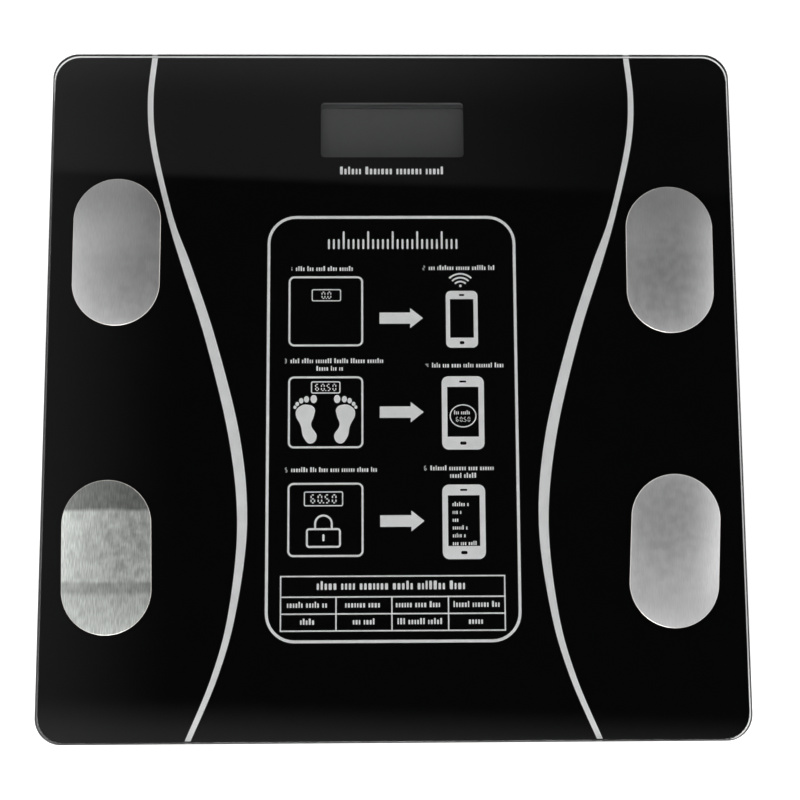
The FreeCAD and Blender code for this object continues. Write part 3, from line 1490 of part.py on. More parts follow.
def make_all():
    """Builds every piece."""
    make_glass()
    make_film()
    make_electrodes()
    make_foam()
    make_tray()
    make_label()
    make_door()
    for corner in CORNERS:
        make_foot(corner)
        make_rubber(corner)
        make_cell(corner)
        make_bracket(corner)
    make_cell_screws()
    make_gauges()
    make_batteries()
    make_terminals()
    make_board()
    make_display()
    make_button()
    make_wires()


def check_document():
    """Stops on any failed feature, and on any cut that removed nothing."""
    for thing in doc.Objects:
        if "Invalid" in thing.State or "Error" in thing.State:
            raise RuntimeError(f"{thing.Label} ({thing.Name}) failed: {thing.State}")
    for body in parts:
        if body.Shape.isNull() or not body.Shape.isValid():
            raise RuntimeError(f"{body.Label} has no valid shape")
        if body.TypeId != "PartDesign::Body":
            continue
        before = None
        for feature in body.Group:
            if not feature.isDerivedFrom("PartDesign::Feature"):
                continue
            volume = feature.Shape.Volume
            cuts = feature.TypeId.split("::")[1] in ("Pocket", "Groove", "SubtractiveLoft")
            if cuts and not volume < before - 1e-6:
                raise RuntimeError(f"{body.Label}: {feature.Name} removed nothing")
            before = volume


def write_steps():
    """Writes each piece to parts/ under its label."""
    os.makedirs("parts", exist_ok=True)
    for piece in parts:
        piece.Shape.exportStep(os.path.join("parts", f"{piece.Label}.step"))
        box = piece.Shape.BoundBox
        print(f"{piece.Label:28s} {len(piece.Shape.Solids)} {piece.Shape.Volume:10.1f}"
              f"  z {box.ZMin:.2f} to {box.ZMax:.2f}")


make_all()
doc.recompute()
check_document()
write_steps()
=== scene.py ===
"""A flat glass bathroom scale, dressed for a studio picture around its fixed CAD frame."""

import json
import logging
import math
import random
from collections.abc import Callable, Iterable
from dataclasses import dataclass, field
from enum import Enum

import bpy
from mathutils import Euler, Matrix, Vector

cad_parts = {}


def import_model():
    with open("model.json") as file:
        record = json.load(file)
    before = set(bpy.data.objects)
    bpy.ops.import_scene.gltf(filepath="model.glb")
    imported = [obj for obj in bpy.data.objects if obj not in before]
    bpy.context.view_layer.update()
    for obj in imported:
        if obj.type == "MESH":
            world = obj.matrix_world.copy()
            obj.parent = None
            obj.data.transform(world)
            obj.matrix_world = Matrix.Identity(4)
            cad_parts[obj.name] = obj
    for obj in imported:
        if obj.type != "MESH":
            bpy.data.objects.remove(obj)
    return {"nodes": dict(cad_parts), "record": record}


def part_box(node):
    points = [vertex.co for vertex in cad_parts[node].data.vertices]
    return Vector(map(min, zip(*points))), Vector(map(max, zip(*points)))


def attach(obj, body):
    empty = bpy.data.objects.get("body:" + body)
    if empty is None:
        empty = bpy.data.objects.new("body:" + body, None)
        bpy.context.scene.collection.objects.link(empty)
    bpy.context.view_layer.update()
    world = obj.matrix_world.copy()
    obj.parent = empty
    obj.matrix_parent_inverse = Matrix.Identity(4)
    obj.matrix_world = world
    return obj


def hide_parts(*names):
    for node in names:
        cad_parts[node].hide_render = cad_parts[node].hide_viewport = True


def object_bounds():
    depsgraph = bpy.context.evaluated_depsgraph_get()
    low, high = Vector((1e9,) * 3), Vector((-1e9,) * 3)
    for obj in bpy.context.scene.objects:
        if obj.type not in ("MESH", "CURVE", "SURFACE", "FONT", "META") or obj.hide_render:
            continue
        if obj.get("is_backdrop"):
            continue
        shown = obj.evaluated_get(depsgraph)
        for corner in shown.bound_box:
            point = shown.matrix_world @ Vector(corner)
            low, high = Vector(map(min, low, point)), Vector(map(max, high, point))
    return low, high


MM = 0.001
HAIR = MM / 100  # places closer than this are level with each other
TOUCH = MM / 1000  # points closer than this are one point
UPRIGHT = 0.2  # a face is upright if its normal rises less than this
LEVEL = 0.9  # and level if it rises more than this
MOTTLE_SPAN = 25  # how many features of the relief one patch of mottling spans
WEAR_SPAN = 9  # and how many one worn patch spans
WHITE = (1.0, 1.0, 1.0, 1.0)

log = logging.getLogger("bathroom_scale")

Colour = tuple[float, float, float]
Triple = tuple[float, float, float]
Point = tuple[float, float]
Quad = tuple[float, float, float, float]


# ---------------------------------------------------------------------------------- finishes


class Graph:
    """A node tree, with a short call for each kind of node that the finishes share."""

    def __init__(self, owner: bpy.types.Material | bpy.types.World) -> None:
        """Starts on the nodes of a new material or world.

        Args:
            owner: what the nodes belong to.
        """
        owner.use_nodes = True
        self.tree = owner.node_tree
        self.shader = next(n for n in self.tree.nodes if n.outputs)

    def node(self, kind: str, **settings: object) -> bpy.types.Node:
        """Adds a node.

        Args:
            kind: the node's type, without its ShaderNode prefix.
            settings: properties to set on it.

        Returns:
            The new node.
        """
        made = self.tree.nodes.new(f"ShaderNode{kind}")
        for name, value in settings.items():
            setattr(made, name, value)
        return made

    def feed(self, node: bpy.types.Node, socket: str | int, source: object) -> None:
        """Gives an input either a link or a plain value.

        Args:
            node: the node that receives it.
            socket: the input's name or number.
            source: an output socket, or a number, tuple or colour.
        """
        if isinstance(source, bpy.types.NodeSocket):
            self.tree.links.new(source, node.inputs[socket])
        else:
            node.inputs[socket].default_value = source

    def place(self, stretch: Triple = (1, 1, 1)) -> bpy.types.NodeSocket:
        """Object coordinates in metres, stretched along each axis.

        Args:
            stretch: how much finer the pattern is along X, Y and Z.

        Returns:
            The mapped coordinate output.
        """
        mapping = self.node("Mapping")
        self.feed(mapping, "Vector", self.node("TexCoord").outputs["Object"])
        self.feed(mapping, "Scale", stretch)
        return mapping.outputs["Vector"]

    def axis(self, name: str) -> bpy.types.NodeSocket:
        """One of the piece's own coordinates, in metres.

        Args:
            name: X, Y or Z.

        Returns:
            Its value output.
        """
        split = self.node("SeparateXYZ")
        self.feed(split, 0, self.node("TexCoord").outputs["Object"])
        return split.outputs[name]

    def noise(
        self, scale: float, detail: float = 3.0, stretch: Triple = (1, 1, 1)
    ) -> bpy.types.NodeSocket:
        """Soft noise on the piece itself.

        Args:
            scale: how many features fit a metre.
            detail: how many finer layers it has.
            stretch: how much finer it is along X, Y and Z.

        Returns:
            A value output from 0 to 1, mostly near 0.5.
        """
        made = self.node("TexNoise")
        self.feed(made, "Vector", self.place(stretch))
        self.feed(made, "Scale", scale)
        self.feed(made, "Detail", detail)
        return made.outputs["Fac"]

    def cells(self, scale: float) -> bpy.types.NodeSocket:
        """Distance to the middle of scattered cells, for foam and pebbled skins.

        Args:
            scale: how many cells fit a metre.

        Returns:
            A value output.
        """
        made = self.node("TexVoronoi")
        self.feed(made, "Vector", self.place())
        self.feed(made, "Scale", scale)
        return made.outputs["Distance"]

    def spread(
        self, value: object, low: float, high: float, start: float = 0.3, end: float = 0.7
    ) -> bpy.types.NodeSocket:
        """Maps a value onto a new range.

        Args:
            value: the value output to map.
            low: the result at start.
            high: the result at end.
            start: the lower end of the value.
            end: the upper end of the value.

        Returns:
            The mapped value output.
        """
        made = self.node("MapRange", interpolation_type="SMOOTHSTEP")
        for socket, number in enumerate((value, start, end, low, high)):
            self.feed(made, socket, number)
        return made.outputs["Result"]

    def between(self, share: object, first: Colour, second: Colour) -> bpy.types.NodeSocket:
        """Mixes two colours.

        Args:
            share: the value output that picks the second colour.
            first: the colour at 0, or a colour output.
            second: the colour at 1, or a colour output.

        Returns:
            The mixed colour output.
        """
        made = self.node("Mix", data_type="RGBA")
        self.feed(made, 0, share)
        for socket, colour in ((6, first), (7, second)):
            linked = isinstance(colour, bpy.types.NodeSocket)
            self.feed(made, socket, colour if linked else (*colour, 1.0))
        return made.outputs[2]

    def sums(self, operation: str, first: object, second: object) -> bpy.types.NodeSocket:
        """One arithmetic step.

        Args:
            operation: the Math node's operation.
            first: its first input.
            second: its second input.

        Returns:
            The result's output.
        """
        made = self.node("Math", operation=operation)
        self.feed(made, 0, first)
        self.feed(made, 1, second)
        return made.outputs[0]

    def relief(self, height: object, depth: float) -> None:
        """Raises the surface by a height pattern.

        Args:
            height: the value output.
            depth: metres between its 0 and its 1.
        """
        made = self.node("Bump")
        self.feed(made, "Height", height)
        self.feed(made, "Distance", depth)
        self.feed(self.shader, "Normal", made.outputs["Normal"])


@dataclass(frozen=True)
class Finish:
    """A surface with mottled colour, uneven polish and a fine relief.

    Attributes:
        name: what the finish is called.
        colour: its middle colour.
        roughness: its middle roughness.
        metallic: 1 on bare metal.
        shine: how strongly a surface that isn't metal reflects, 0.5 being usual.
        mottle: how far its colour varies, as a share.
        polish: how far its roughness varies.
        grain: how many features of its relief fit a metre.
        stretch: how much finer its grain is along X, Y and Z.
        depth: depth of its relief, in metres.
    """

    name: str
    colour: Colour
    roughness: float = 0.5
    metallic: float = 0.0
    shine: float = 0.5
    mottle: float = 0.12
    polish: float = 0.06
    grain: float = 1800.0
    stretch: Triple = (1, 1, 1)
    depth: float = 0.00002

    def shade(self, share: float) -> Colour:
        """The middle colour made lighter or darker by a share."""
        return tuple(min(1.0, part * (1 + share)) for part in self.colour)

    def colours(self, graph: Graph) -> bpy.types.NodeSocket:
        """The colour pattern: broad mottling on the middle colour.

        Args:
            graph: the material's nodes.

        Returns:
            A colour output.
        """
        broad = graph.noise(self.grain / MOTTLE_SPAN, 4.0, self.stretch)
        share = graph.spread(broad, 0.0, 1.0)
        return graph.between(share, self.shade(-self.mottle), self.shade(self.mottle))

    def heights(self, graph: Graph) -> bpy.types.NodeSocket:
        """The relief pattern: fine noise along the grain."""
        return graph.noise(self.grain, 2.0, self.stretch)

    def extras(self, graph: Graph) -> None:
        """Whatever else a finish sets on its shader. A plain finish sets nothing."""

    def material(self) -> bpy.types.Material:
        """Builds the material.

        Returns:
            The new material.
        """
        material = bpy.data.materials.new(self.name)
        graph = Graph(material)
        graph.feed(graph.shader, "Base Color", self.colours(graph))
        graph.feed(graph.shader, "Metallic", self.metallic)
        graph.feed(graph.shader, "Specular IOR Level", self.shine)
        wear = graph.noise(self.grain / WEAR_SPAN, 3.0, self.stretch)
        low, high = max(0.0, self.roughness - self.polish), self.roughness + self.polish
        graph.feed(graph.shader, "Roughness", graph.spread(wear, low, high))
        graph.relief(self.heights(graph), self.depth)
        self.extras(graph)
        return material


@dataclass(frozen=True)
class ClearGlass(Finish):
    """Clear glass with a faint tint and a trace of handling on its polish."""

    def extras(self, graph: Graph) -> None:
        """Lets light through."""
        graph.feed(graph.shader, "Transmission Weight", 1.0)
        graph.feed(graph.shader, "IOR", 1.5)


@dataclass(frozen=True)
class GroundEdge(ClearGlass):
    """The finely ground edge of the glass, with painted shade making it dark along the near and
    left sides.

    Attributes:
        ink: the colour of the painted shade on the near and left stretch.
        start: X or Y at which the painted shade ends.
        end: X or Y at which the edge is clear.
    """

    ink: Colour = (0.02, 0.02, 0.02)
    start: float = 0.118
    end: float = 0.134

    def colours(self, graph: Graph) -> bpy.types.NodeSocket:
        """The clear edge's colour, or the painted shade's colour where neither X nor Y is high.

        Args:
            graph: the material's nodes.

        Returns:
            A colour output.
        """
        # painted shade: the edge turns dark where neither X nor Y is high, on the near and left
        # sides
        reach = graph.sums("MAXIMUM", graph.axis("X"), graph.axis("Y"))
        share = graph.spread(reach, 0.0, 1.0, self.start, self.end)
        return graph.between(share, self.ink, super().colours(graph))


@dataclass(frozen=True)
class BrushedSteel(Finish):
    """Stainless steel brushed along Y, with bands of painted light and shade across it.

    Attributes:
        streak: how much finer the scratches are across the grain than along it.
        pull: how far highlights are drawn out across the grain.
        tones: pairs of a place along Y in metres and the brightness of the painted light and shade
            there.
        wander: how far the bands of painted light and shade wander along Y, in metres.
        waves: how many times they turn in a metre.
        scratches: how much finer the scratches are than the streaks of tone.
    """

    streak: float = 0.12
    pull: float = 0.4
    tones: tuple[Point, ...] = ((-0.1, 1.0), (0.1, 1.0))
    wander: float = 0.0022
    waves: float = 60.0
    scratches: float = 1.4

    def colours(self, graph: Graph) -> bpy.types.NodeSocket:
        """Fine streaks along the grain, with the bands of painted light and shade across it.

        Args:
            graph: the material's nodes.

        Returns:
            A colour output.
        """
        streaks = graph.noise(self.grain, 3.0, (1, self.streak, 1))
        fine = graph.between(
            graph.spread(streaks, 0.0, 1.0), self.shade(-self.mottle), self.shade(self.mottle)
        )
        scaled = graph.node("VectorMath", operation="SCALE")
        graph.feed(scaled, 0, fine)
        graph.feed(scaled, "Scale", self.bands(graph))
        return scaled.outputs[0]

    def bands(self, graph: Graph) -> bpy.types.NodeSocket:
        """The painted light and shade along Y, slightly wavy across the pad.

        Args:
            graph: the material's nodes.

        Returns:
            A value output.
        """
        wave = graph.sums("MULTIPLY", graph.noise(self.waves, 2.0), self.wander)
        place = graph.sums("SUBTRACT", graph.sums("ADD", graph.axis("Y"), wave), self.wander / 2)
        # painted light and shade: each step brightens or darkens the steel by its place along Y
        value: bpy.types.NodeSocket | float = self.tones[0][1]
        for (start, before), (end, after) in zip(self.tones, self.tones[1:]):
            value = graph.sums(
                "ADD", value, graph.spread(place, 0.0, after - before, start, end)
            )
        return value

    def heights(self, graph: Graph) -> bpy.types.NodeSocket:
        """Long fine scratches."""
        return graph.noise(self.grain * self.scratches, 2.0, (1, self.streak, 1))

    def extras(self, graph: Graph) -> None:
        """Draws highlights out across the grain.

        Args:
            graph: the material's nodes.
        """
        graph.feed(graph.shader, "Anisotropic", self.pull)
        along = graph.node("CombineXYZ")
        graph.feed(along, "Y", 1.0)
        graph.feed(graph.shader, "Tangent", along.outputs[0])


@dataclass(frozen=True)
class Foam(Finish):
    """Closed-cell foam."""

    def heights(self, graph: Graph) -> bpy.types.NodeSocket:
        """Small round cells."""
        return graph.cells(self.grain)


@dataclass(frozen=True)
class Pebbled(Finish):
    """Moulded plastic from a spark-eroded tool: small pebbles under a finer grain.

    Attributes:
        finer: how much finer that grain is than the pebbles.
    """

    finer: float = 2.3

    def heights(self, graph: Graph) -> bpy.types.NodeSocket:
        """Pebbles and fine noise together."""
        return graph.sums("ADD", graph.cells(self.grain), graph.noise(self.grain * self.finer))


@dataclass(frozen=True)
class DisplayFilm(Finish):
    """The dark film of a display that is off, with painted light making it a little lighter
    towards its far edge.

    Attributes:
        near: Y at which the painted light starts to lighten it.
        far: Y at which it is lightest.
        weave: how many of its faint vertical threads fit a metre.
        showing: how strongly they show.
    """

    near: float = 0.095
    far: float = 0.128
    weave: float = 500.0
    showing: float = 0.15

    def colours(self, graph: Graph) -> bpy.types.NodeSocket:
        """A slow change of painted light from the near edge to the far one, with a faint vertical
        weave.

        Args:
            graph: the material's nodes.

        Returns:
            A colour output.
        """
        # painted light: the film grows lighter towards its far edge
        share = graph.spread(graph.axis("Y"), 0.0, 1.0, self.near, self.far)
        slow = graph.between(share, self.shade(-self.mottle), self.shade(self.mottle))
        threads = graph.noise(self.weave, 1.0, (1, 0.05, 1))
        return graph.between(
            graph.spread(threads, 0.0, self.showing), slow, self.shade(-self.mottle)
        )


@dataclass(frozen=True)
class BatterySleeve(Finish):
    """A battery's printed sleeve, with a band of a second colour and a bare steel rim.

    Attributes:
        band: the second colour.
        bare: the colour of the bare ends.
        reach: from the battery's middle to the ends of the sleeve, in metres.
        share: where the band starts, as a share of that.
        edge: the width of the change from one colour to the next, in metres.
    """

    band: Colour = (0.10, 0.30, 0.14)
    bare: Colour = (0.62, 0.62, 0.60)
    reach: float = 0.0205
    share: float = 0.55
    edge: float = 0.0002

    def colours(self, graph: Graph) -> bpy.types.NodeSocket:
        """Bands along the battery, and bare metal at its ends.

        Args:
            graph: the material's nodes.

        Returns:
            A colour output.
        """
        out = graph.sums("ABSOLUTE", graph.axis("X"), 0.0)
        start = self.reach * self.share
        band = graph.spread(out, 0.0, 1.0, start, start + self.edge)
        ends = graph.spread(out, 0.0, 1.0, self.reach, self.reach + self.edge)
        return graph.between(ends, graph.between(band, self.colour, self.band), self.bare)


@dataclass(frozen=True)
class SolderMask(Finish):
    """A circuit board: green lacquer over paler copper tracks.

    Attributes:
        track: the lacquer's colour over a track.
        pitch: how fine the pattern is.
        gap: the width of its lines.
    """

    track: Colour = (0.06, 0.30, 0.14)
    pitch: float = 160.0
    gap: float = 0.06

    def tracks(self, graph: Graph) -> bpy.types.NodeSocket:
        """The pattern that the tracks make.

        Args:
            graph: the material's nodes.

        Returns:
            A value output, which is 0 on most of the board and 1 along the pattern's lines.
        """
        made = graph.node("TexBrick", offset=0.35, squash=0.6, squash_frequency=3)
        graph.feed(made, "Vector", graph.place())
        graph.feed(made, "Scale", self.pitch)
        graph.feed(made, "Mortar Size", self.gap)
        return made.outputs["Fac"]

    def colours(self, graph: Graph) -> bpy.types.NodeSocket:
        """Tracks under the lacquer."""
        return graph.between(self.tracks(graph), self.colour, self.track)

    def heights(self, graph: Graph) -> bpy.types.NodeSocket:
        """Tracks stand slightly proud."""
        return self.tracks(graph)


@dataclass(frozen=True)
class FloorPaper(Finish):
    """Seamless white paper lit a little from behind, which can be seen through from below.

    Attributes:
        backlight: how much light comes through it.
    """

    backlight: float = 0.4

    def extras(self, graph: Graph) -> None:
        """Lets the light through, and leaves out the underside.

        Args:
            graph: the material's nodes.
        """
        graph.feed(graph.shader, "Emission Color", WHITE)
        graph.feed(graph.shader, "Emission Strength", self.backlight)
        mix = graph.node("MixShader")
        graph.feed(mix, 0, graph.node("NewGeometry").outputs["Backfacing"])
        graph.feed(mix, 1, graph.shader.outputs[0])
        graph.feed(mix, 2, graph.node("BsdfTransparent").outputs[0])
        graph.feed(graph.tree.nodes["Material Output"], 0, mix.outputs[0])


METAL = {"metallic": 1.0, "grain": 3000.0, "depth": 0.000004}

FINISHES: dict[str, Finish] = {
    "clear_glass": ClearGlass(
        "clear_glass", (0.962, 0.982, 0.975), 0.005, mottle=0.003, polish=0.005, depth=0.0,
        grain=220.0,
    ),
    # the arris carries painted shade along its near and left sides
    "arris": GroundEdge("arris", (0.60, 0.592, 0.587), 0.12, polish=0.04, depth=0.000002),
    "black_print": Finish(
        "black_print", (0.0010, 0.0010, 0.0011), 0.6, shine=0.0, mottle=0.2, grain=2400.0
    ),
    "silver_ink": Finish(
        "silver_ink", (0.915, 0.907, 0.911), 0.6, shine=0.1, mottle=0.03, grain=3500.0
    ),
    "electrode_steel": BrushedSteel(
        "electrode_steel", (0.61, 0.61, 0.614), 0.32, 1.0, mottle=0.05, polish=0.012,
        depth=0.000002, grain=2600.0,
        # painted light and shade along Y: each pad is lighter or darker by where it lies under the
        # light
        tones=(
            (-0.097, 0.93), (-0.070, 1.35), (-0.042, 1.23), (0.030, 1.12), (0.056, 0.90),
            (0.083, 0.50),
        ),
    ),
    # a lighter, greener copy of the steel for the front left pad: painted light, with bands of
    # painted reflection and shade
    "electrode_steel_painted_light": BrushedSteel(
        "electrode_steel_painted_light", (0.630, 0.656, 0.628), 0.32, 1.0, mottle=0.2, polish=0.03,
        depth=0.000005, grain=2200.0,
        tones=(
            (-0.0985, 0.72), (-0.0835, 0.86), (-0.0808, 0.64), (-0.0785, 0.67), (-0.0765, 1.05),
            (-0.0500, 1.24), (-0.0478, 0.45), (-0.0370, 0.41),
        ),
    ),
    "electrode_edge": Finish(
        "electrode_edge", (0.92, 0.84, 0.79), 0.38, 1.0, grain=2600.0, depth=0.000004
    ),
    "clear_tape": Finish("clear_tape", (0.55, 0.42, 0.30), 0.45),
    "plated_brass": Finish("plated_brass", (0.66, 0.63, 0.55), 0.28, **METAL),
    "zinc_steel": Finish("zinc_steel", (0.62, 0.63, 0.64), 0.34, **METAL),
    "black_foam": Foam("black_foam", (0.03, 0.03, 0.03), 0.85, grain=2500.0, depth=0.00012),
    "grey_foam": Foam("grey_foam", (0.16, 0.16, 0.165), 0.8, grain=2500.0, depth=0.00006),
    "tray_plastic": Pebbled("tray_plastic", (0.035, 0.035, 0.038), 0.46, grain=2200.0),
    "label_film": Finish(
        "label_film", (0.62, 0.63, 0.65), 0.38, 0.6, grain=1200.0, stretch=(0.05, 1, 1)
    ),
    "grey_rubber": Pebbled("grey_rubber", (0.07, 0.07, 0.072), 0.78, grain=1500.0, depth=0.00004),
    "cell_steel": Finish(
        "cell_steel", (0.55, 0.56, 0.58), 0.38, 1.0, grain=1500.0, stretch=(1, 0.1, 1)
    ),
    "bracket_plastic": Pebbled("bracket_plastic", (0.72, 0.72, 0.70), 0.5),
    "gauge_foil": Finish(
        "gauge_foil", (0.62, 0.36, 0.12), 0.35, 0.4, mottle=0.4, grain=4000.0, stretch=(0.1, 1, 1)
    ),
    "white_sealant": Finish("white_sealant", (0.85, 0.85, 0.83), 0.4, grain=500.0, depth=0.0001),
    "battery_wrap": BatterySleeve("battery_wrap", (0.10, 0.11, 0.13), 0.25),
    "nickel_contact": Finish("nickel_contact", (0.75, 0.74, 0.71), 0.22, **METAL),
    "board_green": SolderMask("board_green", (0.025, 0.17, 0.075), 0.3, depth=0.00003),
    "epoxy_black": Finish("epoxy_black", (0.02, 0.02, 0.02), 0.55, grain=3000.0),
    "can_metal": Finish("can_metal", (0.72, 0.72, 0.73), 0.3, stretch=(0.1, 1, 1), **METAL),
    "capacitor_sleeve": Finish("capacitor_sleeve", (0.03, 0.04, 0.10), 0.3, grain=900.0),
    "connector_white": Finish("connector_white", (0.83, 0.82, 0.77), 0.42),
    "backlight_white": Finish("backlight_white", (0.80, 0.82, 0.84), 0.2, grain=700.0),
    "display_glass": ClearGlass(
        "display_glass", (0.86, 0.90, 0.86), 0.02, mottle=0.01, polish=0.01, depth=0.0000004
    ),
    # painted light makes this film lighter towards the display's far edge
    "polariser_grey": DisplayFilm(
        "polariser_grey", (0.062, 0.0605, 0.061), 0.45, shine=0.3, mottle=0.3, polish=0.01
    ),
    "tinned_pins": Finish("tinned_pins", (0.66, 0.66, 0.67), 0.3, **METAL),
    "wire_grey": Finish("wire_grey", (0.35, 0.35, 0.36), 0.45, grain=900.0),
    "wire_white": Finish("wire_white", (0.80, 0.80, 0.78), 0.45, grain=900.0),
    "wire_red": Finish("wire_red", (0.55, 0.03, 0.03), 0.4, grain=900.0),
    "wire_black": Finish("wire_black", (0.02, 0.02, 0.02), 0.4, grain=900.0),
    "floor_paper": FloorPaper("floor_paper", (0.86, 0.86, 0.86), 0.8, mottle=0.01, grain=600.0),
}


class Paintbox:
    """Hands out each finish's material, and builds it the first time it is asked for."""

    def __init__(self) -> None:
        """Starts with nothing built."""
        self.built: dict[str, bpy.types.Material] = {}

    def get(self, name: str) -> bpy.types.Material:
        """The material of a finish.

        Args:
            name: a key of FINISHES.

        Returns:
            Its material.
        """
        if name not in self.built:
            self.built[name] = FINISHES[name].material()
        return self.built[name]


# ---------------------------------------------------------------------------------- shaping


class Bench:
    """The few workshop moves that every new piece is shaped with."""

    @staticmethod
    def clear() -> None:
        """Leaves nothing selected, in object mode."""
        if bpy.context.object and bpy.context.object.mode != "OBJECT":
            bpy.ops.object.mode_set(mode="OBJECT")
        bpy.ops.object.select_all(action="DESELECT")

    @staticmethod
    def take(piece: bpy.types.Object) -> None:
        """Makes one piece the only selected one, and the active one.

        Args:
            piece: the piece.
        """
        Bench.clear()
        piece.select_set(True)
        bpy.context.view_layer.objects.active = piece

    @staticmethod
    def settle(piece: bpy.types.Object, shift: Vector | None = None, turn: float = 0.0) -> None:
        """Puts a piece in its place, and its place into its mesh.

        Args:
            piece: the piece.
            shift: where it goes, in metres.
            turn: its turn about Z, in degrees.
        """
        Bench.take(piece)
        if shift is not None:
            piece.location = shift
        piece.rotation_euler[2] = math.radians(turn)
        bpy.ops.object.transform_apply(location=True, rotation=True, scale=True)

    @staticmethod
    def edges(piece: bpy.types.Object, wanted: Callable[[Vector, Vector], bool]) -> None:
        """Selects the edges whose two ends pass a test, and goes to edit mode.

        Args:
            piece: the piece.
            wanted: takes the two ends of an edge and says whether it is selected.
        """
        Bench.take(piece)
        bpy.ops.object.mode_set(mode="EDIT")
        bpy.ops.mesh.select_mode(type="EDGE")
        bpy.ops.mesh.select_all(action="DESELECT")
        bpy.ops.object.mode_set(mode="OBJECT")
        points = piece.data.vertices
        for edge in piece.data.edges:
            first, second = (points[n].co for n in edge.vertices)
            edge.select = wanted(first, second)
        bpy.ops.object.mode_set(mode="EDIT")

    @staticmethod
    def close(piece: bpy.types.Object, angle: float = 30.0) -> None:
        """Merges doubles, turns every face outwards and smooths the gentle edges.

        Args:
            piece: the piece.
            angle: edges sharper than this many degrees stay crisp.
        """
        Bench.take(piece)
        bpy.ops.object.mode_set(mode="EDIT")
        bpy.ops.mesh.select_all(action="SELECT")
        bpy.ops.mesh.remove_doubles(threshold=TOUCH)
        bpy.ops.mesh.normals_make_consistent(inside=False)
        bpy.ops.object.mode_set(mode="OBJECT")
        bpy.ops.object.shade_smooth_by_angle(angle=math.radians(angle))

    @staticmethod
    def cut(piece: bpy.types.Object, cutter: bpy.types.Object) -> None:
        """Takes a cutter's shape out of a piece, and throws the cutter away.

        Args:
            piece: what is cut.
            cutter: the shape taken out.
        """
        Bench.take(piece)
        modifier = piece.modifiers.new("cut", "BOOLEAN")
        modifier.operation = "DIFFERENCE"
        modifier.object = cutter
        bpy.ops.object.modifier_apply(modifier=modifier.name)
        bpy.data.objects.remove(cutter)


# ---------------------------------------------------------------------------------- artwork


# A figure's strokes: how far each is to the side and up, from -1 to 1, and whether it is upright.
STROKE_PLACES = {
    "top": (0, 1, False),
    "middle": (0, 0, False),
    "foot": (0, -1, False),
    "upper_left": (-1, 0.5, True),
    "upper_right": (1, 0.5, True),
    "lower_left": (-1, -0.5, True),
    "lower_right": (1, -0.5, True),
}
UNUSED_STROKES = {
    "0": ("middle",),
    "1": ("top", "middle", "foot", "upper_left", "lower_left"),
    "2": ("upper_left", "lower_right"),
    "3": ("upper_left", "lower_left"),
    "4": ("top", "foot", "lower_left"),
    "5": ("upper_right", "lower_left"),
    "6": ("upper_right",),
}
STROKES = {
    figure: [stroke for stroke in STROKE_PLACES if stroke not in unused]
    for figure, unused in UNUSED_STROKES.items()
}


class Corner(Enum):
    """How an outline passes its points."""

    SHARP = "VECTOR"
    ROUND = "AUTO"


